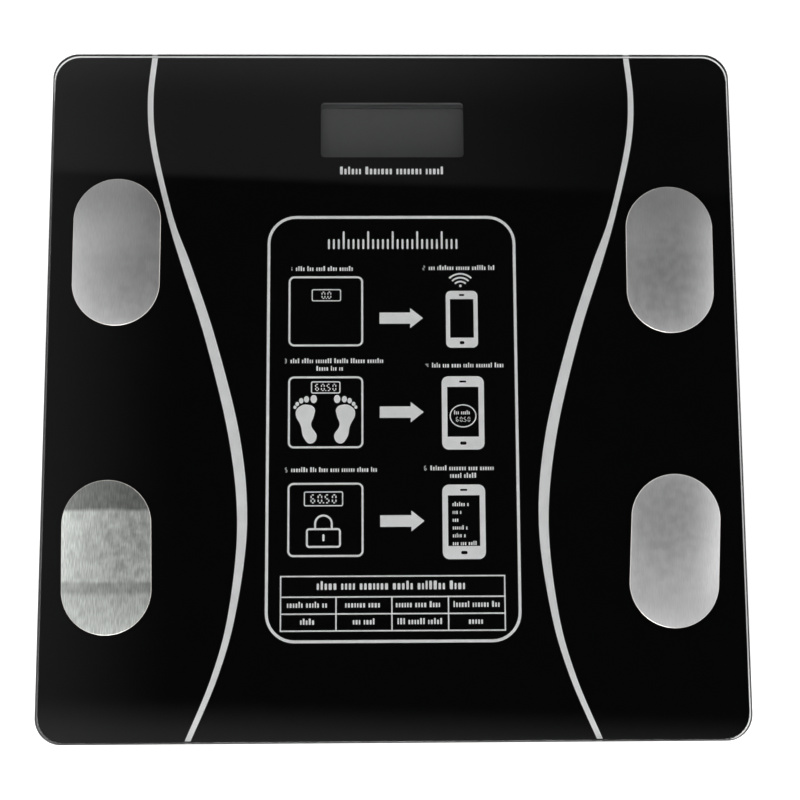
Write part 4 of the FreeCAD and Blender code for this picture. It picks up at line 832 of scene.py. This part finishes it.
@dataclass
class Stencil:
    """Flat artwork: closed outlines in millimetres, printed as one thin layer.

    An outline inside another is a hole, and one inside a hole is printed again.

    Attributes:
        name: the printed piece's name.
        low: the height of its underside, in metres.
        high: the height of its top, in metres.
        outlines: each outline's points, and how it passes them.
    """

    name: str
    low: float
    high: float
    outlines: list[tuple[list[Point], Corner]] = field(default_factory=list)

    def outline(self, points: Iterable[Point], corner: Corner = Corner.SHARP) -> None:
        """Adds a closed outline.

        Args:
            points: its points in order.
            corner: how it passes them.
        """
        self.outlines.append((list(points), corner))

    def oval(self, x: float, y: float, across: float, tall: float = 0.0) -> None:
        """Adds an oval, or a disc if only one size is given.

        Args:
            x: its middle.
            y: its middle.
            across: its size along X.
            tall: its size along Y.
        """
        reach_x, reach_y, count = across / 2, (tall or across) / 2, 40
        turns = [math.tau * n / count for n in range(count)]
        self.outline((x + reach_x * math.cos(a), y + reach_y * math.sin(a)) for a in turns)

    def slab(self, x: float, y: float, wide: float, tall: float, radius: float = 0.0) -> None:
        """Adds a rectangle, round at its corners if a radius is given.

        Args:
            x: its middle.
            y: its middle.
            wide: its size along X.
            tall: its size along Y.
            radius: its corner radius.
        """
        far_x, far_y = wide / 2 - radius, tall / 2 - radius
        steps = 1 if not radius else 10 if radius > 0.4 else 3
        points = []
        for quarter, (sx, sy) in enumerate(((1, 1), (-1, 1), (-1, -1), (1, -1))):
            middle_x, middle_y = x + sx * far_x, y + sy * far_y
            for n in range(steps):
                angle = math.pi / 2 * (quarter + n / max(steps - 1, 1))
                points.append(
                    (middle_x + radius * math.cos(angle), middle_y + radius * math.sin(angle))
                )
        self.outline(points)

    def frame(
        self, x: float, y: float, wide: float, tall: float, line: float, radius: float = 0.0
    ) -> None:
        """Adds a line that runs round a rectangle, measured to the line's middle.

        Args:
            x: its middle.
            y: its middle.
            wide: its size along X.
            tall: its size along Y.
            line: the line's width.
            radius: the corner radius.
        """
        self.slab(x, y, wide + line, tall + line, radius + line / 2 if radius else 0.0)
        self.slab(x, y, wide - line, tall - line, max(radius - line / 2, 0.0))

    def bow(
        self, x: float, y: float, radius: float, line: float, start: float, end: float
    ) -> None:
        """Adds a curved line of even width with square ends.

        Args:
            x: the middle of its circle.
            y: the middle of its circle.
            radius: from there to the middle of the line.
            line: the line's width.
            start: where it starts, in degrees.
            end: where it ends, in degrees.
        """
        steps = 18
        turns = [math.radians(start + (end - start) * n / steps) for n in range(steps + 1)]
        outer, inner = radius + line / 2, radius - line / 2
        edge = [(x + outer * math.cos(a), y + outer * math.sin(a)) for a in turns]
        edge += [(x + inner * math.cos(a), y + inner * math.sin(a)) for a in reversed(turns)]
        self.outline(edge)

    def blocks(self, left: float, right: float, y: float, tall: float, seed: int) -> None:
        """Adds a row of small plain blocks in groups, in place of a line of writing.

        Args:
            left: where the row starts.
            right: where it ends.
            y: the middle of the row.
            tall: the usual height of a block.
            seed: picks the grouping.
        """
        pick = random.Random(seed)
        fewest, most = 3, 7
        widest, gap, space, rounding = 0.50 * tall, 0.26 * tall, 0.5 * tall, 0.12 * tall
        x, left_in_group = left, pick.randint(fewest, most)
        while x < right - 0.4 * tall:
            wide = pick.uniform(0.30 * tall, widest)
            extra = tall * pick.choice((0.0, 0.0, 0.0, 0.38))
            self.slab(x + wide / 2, y + extra / 2, wide, tall + extra, rounding)
            x += wide + gap
            left_in_group -= 1
            if not left_in_group:
                x += space
                left_in_group = pick.randint(fewest, most)

    def figures(self, x: float, y: float, tall: float, number: str) -> None:
        """Adds a number in seven-stroke figures.

        Args:
            x: its middle.
            y: its middle.
            tall: the height of a figure.
            number: its figures, with or without a point.
        """
        wide, line = tall * 0.52, tall * 0.14
        step, count = wide * 1.5, len(number.replace(".", ""))
        middle = x - (count - 1) / 2 * step
        out_x, out_y, gap = (wide - line) / 2, (tall - line) / 2, line * 0.25
        for mark in number:
            if mark == ".":
                self.slab(middle - step / 2, y - out_y, line, line)
                continue
            for side, level, upright in (STROKE_PLACES[stroke] for stroke in STROKES[mark]):
                size = (line, out_y - line - gap) if upright else (2 * out_x - line - gap, line)
                self.slab(middle + side * out_x, y + level * out_y, *size)
            middle += step

    def printed(self, spread: float = 1.0, about: Point = (0.0, 0.0)) -> bpy.types.Object:
        """Makes the artwork a thin closed mesh at its height.

        Args:
            spread: how much larger it is printed than it is drawn.
            about: the point that stays where it is, in millimetres.

        Returns:
            The printed piece.
        """
        Bench.clear()
        bpy.ops.curve.primitive_bezier_circle_add()
        piece = bpy.context.object
        piece.name = self.name
        curve = piece.data
        curve.splines.clear()
        curve.dimensions = "2D"
        curve.fill_mode = "BOTH"
        curve.extrude = (self.high - self.low) / 2
        curve.resolution_u = 8
        for points, corner in self.outlines:
            kind = "BEZIER" if corner is Corner.ROUND else "POLY"
            spline = curve.splines.new(kind)
            spline.use_cyclic_u = True
            held = spline.bezier_points if kind == "BEZIER" else spline.points
            held.add(len(points) - 1)
            for knot, (x, y) in zip(held, points):
                if kind == "BEZIER":
                    knot.co = (x * MM, y * MM, 0.0)
                    knot.handle_left_type = knot.handle_right_type = corner.value
                else:
                    knot.co = (x * MM, y * MM, 0.0, 1.0)
        bpy.ops.object.convert(target="MESH")
        piece = bpy.context.object
        piece.data.name = self.name
        piece.scale = (spread, spread, 1.0)
        keep = (1 - spread) * MM
        Bench.settle(piece, Vector((about[0] * keep, about[1] * keep, (self.high + self.low) / 2)))
        Bench.close(piece)
        return piece


@dataclass
class Artwork:
    """What is printed in silver on the back of the glass. All sizes are in millimetres.

    The sizes are as they look through the glass to an eye over the near edge, which the glass
    makes smaller: the print itself is spread out from the point under that eye.

    Attributes:
        spread: how much larger the print is than it looks.
        under_eye: the point under the eye.
        line: middle, width, depth, thickness and radius of the line round the panel.
        sweep: X, Y and width along the left silver sweep, from the far edge to the near one.
        mirror: X of the line that the right sweep is mirrored about.
        heading: middle and length of the rule at the panel's head.
        tile: X, width, thickness and radius of the frame round each left picture.
        tiles: Y and height of each of those frames.
        displays: middle, width and height of the small display in each left picture.
        unloaded: the number on the first of them.
        reading: the number on the others.
        arrows: tail and Y of each arrow.
        under_display: left end, right end, Y and height of the row under the display.
        captions: left end, right end and Y of the row at each step.
        second_rows: the same for the steps that have another row.
        caption_tall: the height of those rows.
        toes: middle, width and length of each toe of the left footprint.
        sole: points round the left footprint's sole.
        between_feet: X of the line that the right footprint is mirrored about.
        lock: middle, width and height of the padlock's body.
        telephones: X, near edge, far edge and width of each telephone.
        grid: left, right, far and near edges of the table.
        levels: Y of the lines between its rows.
        uprights: X of the lines between its columns.
        reaches: half the length of the row of blocks in each of its cells.
    """

    spread: float = 1.0055
    under_eye: Point = (-7.0, -89.0)
    line: tuple[float, ...] = (-0.45, -15.4, 99.9, 171.1, 1.15, 11.0)
    sweep: tuple[Triple, ...] = (
        (-98.1, 138.1, 2.3),
        (-99.6, 120.0, 2.3),
        (-97.9, 100.0, 2.4),
        (-90.6, 70.0, 2.5),
        (-83.8, 50.0, 3.9),
        (-73.8, 20.0, 4.2),
        (-63.7, -20.0, 4.5),
        (-60.2, -55.0, 3.9),
        (-63.9, -90.0, 2.9),
        (-70.6, -115.0, 2.5),
        (-80.5, -138.8, 2.3),
    )
    mirror: float = -0.35
    heading: Triple = (0.0, 60.6, 52.0)
    tile: Quad = (-27.2, 29.4, 0.8, 2.0)
    tiles: tuple[Point, ...] = ((31.1, 28.1), (-10.15, 28.3), (-53.2, 28.6))
    displays: tuple[Quad, ...] = (
        (-27.0, 37.7, 11.5, 4.6),
        (-27.2, -0.1, 11.4, 4.5),
        (-28.0, -44.9, 15.2, 5.5),
    )
    unloaded: str = "0.0"
    reading: str = "60.50"
    arrows: tuple[Point, ...] = ((-5.5, 28.2), (-5.5, -10.2), (-5.5, -53.8))
    under_display: Quad = (-21.5, 21.3, 89.5, 2.4)
    captions: tuple[Triple, ...] = (
        (-42.0, -15.0, 48.5),
        (12.0, 42.0, 48.8),
        (-44.0, -3.0, 10.5),
        (13.0, 45.0, 8.6),
        (-43.5, -6.0, -33.5),
        (12.0, 40.5, -33.0),
    )
    second_rows: tuple[Triple, ...] = ((-31.0, -20.0, 7.4), (22.5, 33.0, -36.0))
    caption_tall: float = 1.45
    toes: tuple[Quad, ...] = (
        (-32.0, -4.8, 2.6, 3.3),
        (-34.9, -4.9, 2.1, 2.6),
        (-37.0, -5.5, 1.8, 2.2),
        (-38.6, -6.8, 1.5, 1.7),
        (-39.5, -8.1, 1.3, 1.4),
    )
    sole: tuple[Point, ...] = (
        (-39.2, -10.2),
        (-37.6, -7.8),
        (-34.4, -7.1),
        (-31.7, -8.6),
        (-31.9, -11.6),
        (-33.0, -15.2),
        (-30.8, -20.2),
        (-33.2, -22.8),
        (-35.9, -20.5),
        (-37.1, -15.8),
    )
    between_feet: float = -27.3
    lock: Quad = (-28.0, -60.4, 13.1, 7.0)
    telephones: tuple[Quad, ...] = (
        (27.85, 16.0, 39.4, 12.9),
        (27.9, -25.4, 4.3, 17.0),
        (27.8, -69.0, -39.4, 17.1),
    )
    grid: Quad = (-44.8, 43.6, -75.5, -96.8)
    levels: Point = (-83.6, -90.2)
    uprights: Triple = (-23.0, -1.0, 21.3)
    reaches: tuple[float, ...] = (30.0, 8.4, 7.4, 9.6, 9.2, 3.2, 4.4, 9.0, 3.2)

    def sweeps(self, stencil: Stencil) -> None:
        """Draws the two silver sweeps as smooth tapering bands.

        Args:
            stencil: what it is drawn on.
        """
        left = self.smooth(self.sweep)
        for side in (1, -1):
            outer = [(self.across(side, x - w / 2, self.mirror), y) for x, y, w in left]
            inner = [(self.across(side, x + w / 2, self.mirror), y) for x, y, w in reversed(left)]
            stencil.outline(outer + inner)

    @staticmethod
    def across(side: int, x: float, mirror: float) -> float:
        """X on the left side, or its mirror image if the side is -1."""
        return x if side > 0 else 2 * mirror - x

    @staticmethod
    def smooth(knots: tuple[tuple[float, ...], ...], steps: int = 12) -> list[tuple[float, ...]]:
        """Passes a smooth curve through knots of any number of values.

        Args:
            knots: the values at each knot.
            steps: points between one knot and the next.

        Returns:
            Points along the curve, ends included.
        """
        ends = [knots[0], *knots, knots[-1]]
        points = []
        for before, here, after, beyond in zip(ends, ends[1:], ends[2:], ends[3:]):
            for n in range(steps):
                t = n / steps
                point = []
                for a, b, c, d in zip(before, here, after, beyond):
                    bend, twist = 2 * a - 5 * b + 4 * c - d, 3 * (b - c) + d - a
                    point.append(b + 0.5 * t * ((c - a) + t * (bend + t * twist)))
                points.append(tuple(point))
        return [*points, knots[-1]]

    def border(self, stencil: Stencil) -> None:
        """Draws the line round the panel, and a graduated rule in place of its heading.

        Args:
            stencil: what it is drawn on.
        """
        stencil.frame(*self.line)
        x, y, wide = self.heading
        marks, every, first, long, short = 26, 5, 3, 7.5, 4.2
        low = y - long / 2
        for n in range(marks + 1):
            tall = long if n % every == first else short
            stencil.slab(x + wide * (n / marks - 0.5), low + tall / 2, 0.8, tall, 0.38)

    def steps(self, stencil: Stencil) -> None:
        """Draws the six steps' pictures, with an arrow from each to the next in its row.

        Args:
            stencil: what it is drawn on.
        """
        for x, y in self.arrows:
            self.arrow(stencil, x, y)
        x, wide, line, radius = self.tile
        for y, tall in self.tiles:
            stencil.frame(x, y, wide, tall, line, radius)
        for n, (x, y, wide, tall) in enumerate(self.displays):
            stencil.frame(x, y, wide, tall, 0.45, 0.6)
            stencil.figures(x, y, tall * 0.66, self.reading if n else self.unloaded)
        self.feet(stencil)
        self.padlock(stencil)
        for telephone in self.telephones:
            self.phone(stencil, *telephone)
        self.signal(stencil)
        self.dial(stencil)
        self.listing(stencil)

    def notes(self, stencil: Stencil) -> None:
        """Draws a small number for each step and plain blocks after it, and the display's row.

        Args:
            stencil: what it is drawn on.
        """
        left, right, y, tall = self.under_display
        stencil.blocks(left, right, y, tall, 11)
        for step, (left, right, y) in enumerate(self.captions, start=1):
            stencil.blocks(left + 2.6, right, y, self.caption_tall, step)
            stencil.figures(left + 0.6, y + 0.2, 1.9, str(step))
        for left, right, y in self.second_rows:
            stencil.blocks(left, right, y, self.caption_tall, int(y))

    @staticmethod
    def arrow(stencil: Stencil, x: float, y: float) -> None:
        """Draws a block arrow to the right.

        Args:
            stencil: what it is drawn on.
            x: its tail.
            y: its middle.
        """
        neck, tip, shaft, head = x + 12.4, x + 17.6, 2.3, 4.1
        half = [(x, -shaft), (neck, -shaft), (neck, -head), (tip, 0.0)]
        points = half + [(a, -b) for a, b in reversed(half[:-1])]
        stencil.outline((a, y + b) for a, b in points)

    def feet(self, stencil: Stencil) -> None:
        """Draws a pair of footprints.

        Args:
            stencil: what it is drawn on.
        """
        for side in (1, -1):
            for x, y, wide, tall in self.toes:
                stencil.oval(self.across(side, x, self.between_feet), y, wide, tall)
            foot = [(self.across(side, x, self.between_feet), y) for x, y in self.sole]
            stencil.outline(foot, Corner.ROUND)

    def padlock(self, stencil: Stencil) -> None:
        """Draws a closed padlock: its body, its shackle with two legs, and its keyhole.

        Args:
            stencil: what it is drawn on.
        """
        x, y, wide, tall = self.lock
        line, reach = 0.8, 3.3
        stencil.frame(x, y, wide, tall, line, 1.0)
        stencil.bow(x, y + 5.6, reach, line, -2, 182)
        for side in (-1, 1):
            stencil.slab(x + side * reach, y + 4.7, line, 1.6)
        stencil.slab(x, y + 0.1, 0.9, 2.8, 0.4)

    @staticmethod
    def phone(stencil: Stencil, x: float, low: float, high: float, wide: float) -> None:
        """Draws a telephone with an empty screen.

        Args:
            stencil: what it is drawn on.
            x: its middle.
            low: its near edge.
            high: its far edge.
            wide: its width.
        """
        tall = high - low
        stencil.slab(x, (low + high) / 2, wide, tall, wide * 0.16)
        chin, brow = tall * 0.175, tall * 0.145
        middle = (low + chin + high - brow) / 2
        stencil.slab(x, middle, wide * 0.74, tall - chin - brow)
        stencil.slab(x, high - brow / 2, wide * 0.17, 0.8, 0.38)
        stencil.slab(x, low + chin / 2, wide * 0.15, 1.3, 0.6)

    @staticmethod
    def signal(stencil: Stencil) -> None:
        """Draws a dot and three bows over the first telephone.

        Args:
            stencil: what it is drawn on.
        """
        x, y = 27.4, 40.2
        stencil.oval(x, y + 1.3, 1.1)
        for radius in (3.1, 4.7, 6.3):
            stencil.bow(x, y, radius, 0.7, 45, 135)

    def dial(self, stencil: Stencil) -> None:
        """Draws a ring with a reading in it on the second telephone.

        Args:
            stencil: what it is drawn on.
        """
        x, y, wide, tall, line = 27.9, -11.8, 10.8, 9.4, 0.45
        stencil.oval(x, y, wide, tall)
        stencil.oval(x, y, wide - 2 * line, tall - 2 * line)
        stencil.blocks(x - 3.6, x + 3.4, y + 1.2, 1.2, 31)
        stencil.figures(x, y - 1.4, 2.0, self.reading)

    @staticmethod
    def listing(stencil: Stencil) -> None:
        """Draws rows of blocks on the third telephone.

        Args:
            stencil: what it is drawn on.
        """
        left, y, pitch = 23.3, -47.4, 3.1
        for n, reach in enumerate((6.4, 3.8, 3.0, 6.4, 5.6, 10.0)):
            stencil.blocks(left, left + reach, y - pitch * n, 1.25, 41 + n)

    def table(self, stencil: Stencil) -> None:
        """Draws a table with a title row over two rows of four cells.

        Args:
            stencil: what it is drawn on.
        """
        left, right, top, low = self.grid
        line = 0.55
        stencil.slab((left + right) / 2, (top + low) / 2, right - left + line, top - low + line)
        title = self.levels[0]
        cells = [(left, right, title, top)]
        uprights, levels = (left, *self.uprights, right), (*self.levels, low)
        for high, under in zip(levels, levels[1:]):
            cells += [(a, b, under, high) for a, b in zip(uprights, uprights[1:])]
        for n, ((a, b, under, high), reach) in enumerate(zip(cells, self.reaches)):
            x, y = (a + b) / 2, (under + high) / 2
            stencil.slab(x, y, b - a - line, high - under - line)
            stencil.blocks(x - reach, x + reach, y, 1.75 if n else 2.5, 60 + n)


# ---------------------------------------------------------------------------------- sub-assemblies


@dataclass
class Platform:
    """The glass with its print. Sizes are in millimetres, and places come from the frame.

    Attributes:
        paint: hands out the materials.
        corner: the corner radius.
        arris: the ground edge.
        inset: the print stops short of the glass edge.
        window: width, depth, middle Y and corner radius of the window.
        sink: the print reaches this far into the glass, so that the two are bonded.
        ink: the silver's thickness.
        hole: the width of the hole for each stud.
        inboard: from the middle of a pad to its stud, towards the middle of the glass.
    """

    paint: Paintbox
    corner: float = 10.5
    arris: float = 0.5
    inset: float = 0.5
    window: Quad = (59.0, 23.5, 108.35, 1.5)
    sink: float = 0.02
    ink: float = 0.08
    hole: float = 4.0
    inboard: float = 11.5

    def build(self) -> list[bpy.types.Object]:
        """Builds the glass, the black print and the silver artwork.

        Returns:
            The new pieces.
        """
        return [self.glass(), self.black(), *self.silver()]

    def studs(self) -> list[Vector]:
        """The middles of the four contact studs, in metres.

        Returns:
            One point for each stud.
        """
        places = []
        for corner in Corners:
            low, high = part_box(f"electrode_{corner.value}")
            middle = (low + high) / 2
            inboard = math.copysign(self.inboard * MM, middle.x)
            places.append(Vector((middle.x - inboard, middle.y, 0.0)))
        return places

    def glass(self) -> bpy.types.Object:
        """Shapes the slab: round corners, ground edges, and a hole for each stud.

        Returns:
            The glass.
        """
        low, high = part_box("glass_platform")
        Bench.clear()
        bpy.ops.mesh.primitive_cube_add(size=1.0, location=(low + high) / 2)
        piece = bpy.context.object
        piece.name = piece.data.name = "platform_glass"
        piece.scale = high - low
        Bench.settle(piece)
        Bench.edges(piece, lambda a, b: abs(a.z - b.z) > MM)
        bpy.ops.mesh.bevel(offset=self.corner * MM, segments=24, affect="EDGES")
        Bench.edges(piece, lambda a, b: abs(a.z - b.z) < HAIR)
        bpy.ops.mesh.bevel(offset=self.arris * MM, segments=1, affect="EDGES")
        bpy.ops.object.mode_set(mode="OBJECT")
        for point in self.studs():
            Bench.clear()
            bpy.ops.mesh.primitive_cylinder_add(
                vertices=32, radius=self.hole * MM / 2, depth=4 * (high.z - low.z),
                location=(point.x, point.y, (low.z + high.z) / 2),
            )
            Bench.cut(piece, bpy.context.object)
        piece.data.materials.append(self.paint.get("clear_glass"))
        piece.data.materials.append(self.paint.get("arris"))
        for face in piece.data.polygons:
            face.material_index = int(UPRIGHT < abs(face.normal.z) < LEVEL)
        Bench.close(piece, 25.0)
        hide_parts("glass_platform")
        return piece

    def black(self) -> bpy.types.Object:
        """Lays the black print under the glass, open at the window and the stud holes.

        Returns:
            The print.
        """
        low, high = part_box("printed_film")
        stencil = Stencil("platform_print", low.z, high.z + self.sink * MM)
        span = (high - low) / MM
        stencil.slab(0.0, 0.0, span.x, span.y, self.corner - self.inset)
        wide, deep, y, radius = self.window
        stencil.slab(0.0, y, wide, deep, radius)
        for point in self.studs():
            stencil.oval(point.x / MM, point.y / MM, self.hole)
        piece = stencil.printed()
        piece.data.materials.append(self.paint.get("black_print"))
        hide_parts("printed_film")
        return piece

    def silver(self) -> list[bpy.types.Object]:
        """Prints the silver artwork on the black, one piece for each part of it.

        Returns:
            The printed pieces.
        """
        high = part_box("printed_film")[1]
        base = high.z + self.sink * MM / 2
        artwork = Artwork()
        pieces = []
        for draw in (artwork.sweeps, artwork.border, artwork.steps, artwork.notes, artwork.table):
            stencil = Stencil(f"silver_{draw.__name__}", base, base + self.ink * MM)
            draw(stencil)
            piece = stencil.printed(artwork.spread, artwork.under_eye)
            piece.data.materials.append(self.paint.get("silver_ink"))
            pieces.append(piece)
        return pieces


class Corners(Enum):
    """The four corners of the scale, as its nodes name them."""

    REAR_LEFT = "rear_left"
    REAR_RIGHT = "rear_right"
    FRONT_LEFT = "front_left"
    FRONT_RIGHT = "front_right"


@dataclass
class FootPads:
    """The four brushed steel pads on the glass. Sizes are in millimetres.

    Attributes:
        paint: hands out the materials.
        wide: a pad's width.
        long: a pad's length.
        rim: the radius of its worn upper edge.
        turns: how far each pad was turned when it was stuck on, in degrees.
    """

    paint: Paintbox
    wide: float = 35.5
    long: float = 61.0
    rim: float = 0.28
    turns: dict[Corners, float] = field(
        default_factory=lambda: {
            Corners.REAR_LEFT: 0.0,
            Corners.REAR_RIGHT: -0.6,
            Corners.FRONT_LEFT: 1.2,
            Corners.FRONT_RIGHT: -3.3,
        }
    )

    def build(self) -> list[bpy.types.Object]:
        """Builds the pads.

        Returns:
            The new pieces.
        """
        pieces = []
        blank = self.blank()
        for corner in Corners:
            piece = blank.copy()
            piece.data = blank.data.copy()
            bpy.context.scene.collection.objects.link(piece)
            pieces.append(self.stick(piece, corner))
        bpy.data.objects.remove(blank)
        return pieces

    def blank(self) -> bpy.types.Object:
        """Shapes one pad about the origin: a disc drawn out along Y, with a soft upper rim.

        Returns:
            The blank that the four pads are copied from.
        """
        low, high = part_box("electrode_rear_left")
        thick = high.z - low.z
        Bench.clear()
        bpy.ops.mesh.primitive_cylinder_add(
            vertices=96, radius=self.wide * MM / 2, depth=thick, location=(0, 0, 0)
        )
        piece = bpy.context.object
        Bench.settle(piece)
        stretch = (self.long - self.wide) * MM / 2
        for side in (-1, 1):
            Bench.edges(piece, lambda a, b: side * a.y > HAIR and side * b.y > HAIR)
            bpy.ops.transform.translate(value=(0, side * stretch, 0))
            bpy.ops.object.mode_set(mode="OBJECT")
        top = thick / 2
        Bench.edges(piece, lambda a, b: min(a.z, b.z) > top - HAIR)
        bpy.ops.mesh.bevel(offset=self.rim * MM, segments=3, affect="EDGES")
        bpy.ops.object.mode_set(mode="OBJECT")
        Bench.close(piece, 50.0)
        return piece

    def stick(self, piece: bpy.types.Object, corner: Corners) -> bpy.types.Object:
        """Sticks a pad on at its corner.

        Args:
            piece: a copy of the blank.
            corner: where it goes.

        Returns:
            The same piece, in its place.
        """
        node = f"electrode_{corner.value}"
        low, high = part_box(node)
        piece.name = piece.data.name = f"foot_pad_{corner.value}_steel"
        Bench.settle(piece, (low + high) / 2, self.turns[corner])
        # the front left pad gets the copy of the steel with painted light
        bright = "_painted_light" if corner is Corners.FRONT_LEFT else ""
        piece.data.materials.append(self.paint.get(f"electrode_steel{bright}"))
        piece.data.materials.append(self.paint.get("electrode_edge"))
        for face in piece.data.polygons:
            face.material_index = int(face.normal.z < LEVEL)
        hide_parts(node)
        return piece


@dataclass
class FrameDress:
    """Gives every node of the frame that is still shown its finish.

    Attributes:
        paint: hands out the materials.
        nodes: each node of the frame by its name.
        record: the part's record.
    """

    paint: Paintbox
    nodes: dict[str, bpy.types.Object]
    record: dict

    def dress(self) -> int:
        """Puts each node's finish on it.

        Returns:
            How many nodes were dressed.
        """
        done = 0
        for part in self.record["subparts"]:
            node = self.nodes[part["node"]]
            if node.hide_render:
                continue
            material = self.paint.get(part["material_slot"])
            for slot in node.material_slots:
                slot.material = material
            done += 1
        return done


# ---------------------------------------------------------------------------------- studio


@dataclass
class Studio:
    """A white room with one soft light, a dark hood over the scale, and the camera.

    The bands on the hood go by how far a direction leans: its X or Y for each unit that it rises.
    Each band has the value before it, the value after it, and where it starts and ends.

    Attributes:
        paint: hands out the materials.
        glow: brightness of the room.
        least_rise: the rise is taken as at least this.
        skew: how far the bands across the hood lean for each unit to the side.
        hood_sides: the hood, from 1 to 0 at its left and right ends.
        hood_near: the hood, from 0 to 1 at its near end.
        hood_far: the hood, from 1 to 0 at its far end.
        far_step: brightness of the hood's far part.
        far_glow: more brightness further out.
        left_share: how much of those two each side of the hood gets.
        near_glow: brightness of its near part, and of the rest.
        left_glow: more brightness on its left.
        eye: the camera's place, in metres.
        tilt: the camera's turn about X, Y and Z, in degrees.
        lens: its focal length, in millimetres.
        sensor: the width of its sensor, in millimetres.
        lamp: the light's place, in metres.
        lamp_size: the light's width and height, in metres.
        lamp_power: the light's power, in watts.
        floor_size: the floor's width, in metres.
        floor_drop: how far the floor lies below the feet, in metres.
    """

    paint: Paintbox
    glow: float = 1.25
    least_rise: float = 0.05
    skew: float = 0.038
    hood_sides: Quad = (1.0, 0.0, 0.40, 0.66)
    hood_near: Quad = (0.0, 1.0, -0.36, -0.13)
    hood_far: Quad = (1.0, 0.0, 0.55, 0.85)
    far_step: Quad = (0.0, 0.19, 0.294, 0.303)
    far_glow: Quad = (0.0, 0.26, 0.35, 0.40)
    left_share: Quad = (1.0, 0.12, -0.05, 0.2)
    near_glow: Quad = (0.42, 0.035, -0.094, -0.060)
    left_glow: Quad = (0.22, 0.0, -0.25, -0.13)
    eye: Triple = (-0.00703, -0.08906, 0.6074)
    tilt: Triple = (8.174, -0.904, -0.304)
    lens: float = 66.05
    sensor: float = 36.0
    lamp: Triple = (-0.25, -1.30, 0.80)
    lamp_size: Point = (0.9, 0.5)
    lamp_power: float = 14.5
    floor_size: float = 12.0
    floor_drop: float = 0.0002

    def build(self) -> None:
        """Builds the room, the floor, the light and the camera."""
        self.room()
        self.floor()
        self.light()
        self.camera()
        bpy.context.scene.view_settings.view_transform = "Standard"

    def room(self) -> None:
        """Lights the room evenly, but for a soft dark hood overhead."""
        world = bpy.data.worlds.new("room")
        bpy.context.scene.world = world
        graph = Graph(world)
        split = graph.node("SeparateXYZ")
        graph.feed(split, 0, graph.node("TexCoord").outputs["Generated"])
        rise = graph.sums("MAXIMUM", split.outputs["Z"], self.least_rise)
        side = graph.sums("DIVIDE", split.outputs["X"], rise)
        back = graph.sums("DIVIDE", split.outputs["Y"], rise)
        back = graph.sums("ADD", back, graph.sums("MULTIPLY", side, self.skew))
        hood = graph.spread(graph.sums("ABSOLUTE", side, 0.0), *self.hood_sides)
        for band in (self.hood_near, self.hood_far):
            hood = graph.sums("MULTIPLY", hood, graph.spread(back, *band))
        level = graph.spread(back, *self.far_step)
        for operation, lean, band in (
            ("ADD", back, self.far_glow),
            ("MULTIPLY", side, self.left_share),
            ("ADD", back, self.near_glow),
            ("ADD", side, self.left_glow),
        ):
            level = graph.sums(operation, level, graph.spread(lean, *band))
        room, dark = graph.sums("SUBTRACT", 1.0, hood), graph.sums("MULTIPLY", hood, level)
        glow = graph.sums("ADD", graph.sums("MULTIPLY", room, self.glow), dark)
        graph.feed(graph.shader, "Strength", glow)
        graph.feed(graph.shader, "Color", WHITE)

    def floor(self) -> None:
        """Lays the white floor just under the feet, open to the light that comes from below."""
        Bench.clear()
        bpy.ops.mesh.primitive_plane_add(size=self.floor_size, location=(0, 0, -self.floor_drop))
        plane = bpy.context.object
        plane.name = "studio_floor"
        Bench.settle(plane)
        plane.data.materials.append(self.paint.get("floor_paper"))
        plane.visible_diffuse = plane.visible_shadow = False
        plane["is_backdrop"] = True

    def light(self) -> None:
        """Hangs one soft light beyond the near edge."""
        Bench.clear()
        bpy.ops.object.light_add(type="AREA", location=self.lamp)
        lamp = bpy.context.object
        lamp.name = "soft_light"
        lamp.data.shape = "RECTANGLE"
        lamp.data.size, lamp.data.size_y = self.lamp_size
        lamp.data.energy = self.lamp_power
        lamp.rotation_euler = (-Vector(self.lamp)).to_track_quat("-Z", "Y").to_euler()

    def camera(self) -> None:
        """Sets the camera up over the near edge, looking almost straight down."""
        Bench.clear()
        bpy.ops.object.camera_add(location=self.eye)
        camera = bpy.context.object
        camera.rotation_euler = Euler([math.radians(angle) for angle in self.tilt], "XYZ")
        camera.data.sensor_width = self.sensor
        camera.data.lens = self.lens
        bpy.context.scene.camera = camera


def plain(box: object) -> object:
    """Turns a box of vectors into plain lists of numbers.

    Args:
        box: vectors, or any nesting of sequences of numbers.

    Returns:
        The same as lists.
    """
    if isinstance(box, (int, float)):
        return float(box)
    return [plain(part) for part in box]


def main() -> None:
    """Builds and dresses the scale, and sets up the studio."""
    logging.basicConfig(level=logging.INFO, format="%(name)s: %(message)s")
    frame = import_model()
    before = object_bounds()
    paint = Paintbox()
    for assembly in (Platform(paint), FootPads(paint)):
        for piece in assembly.build():
            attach(piece, "platform")
            log.info("%s: %d faces", piece.name, len(piece.data.polygons))
    dressed = FrameDress(paint, frame["nodes"], frame["record"]).dress()
    log.info("dressed %d nodes of the frame", dressed)
    Studio(paint).build()
    log.info("studio built")
    {"cad": plain(before), "visual": plain(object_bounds())}


if __name__ == "__main__":
    main()
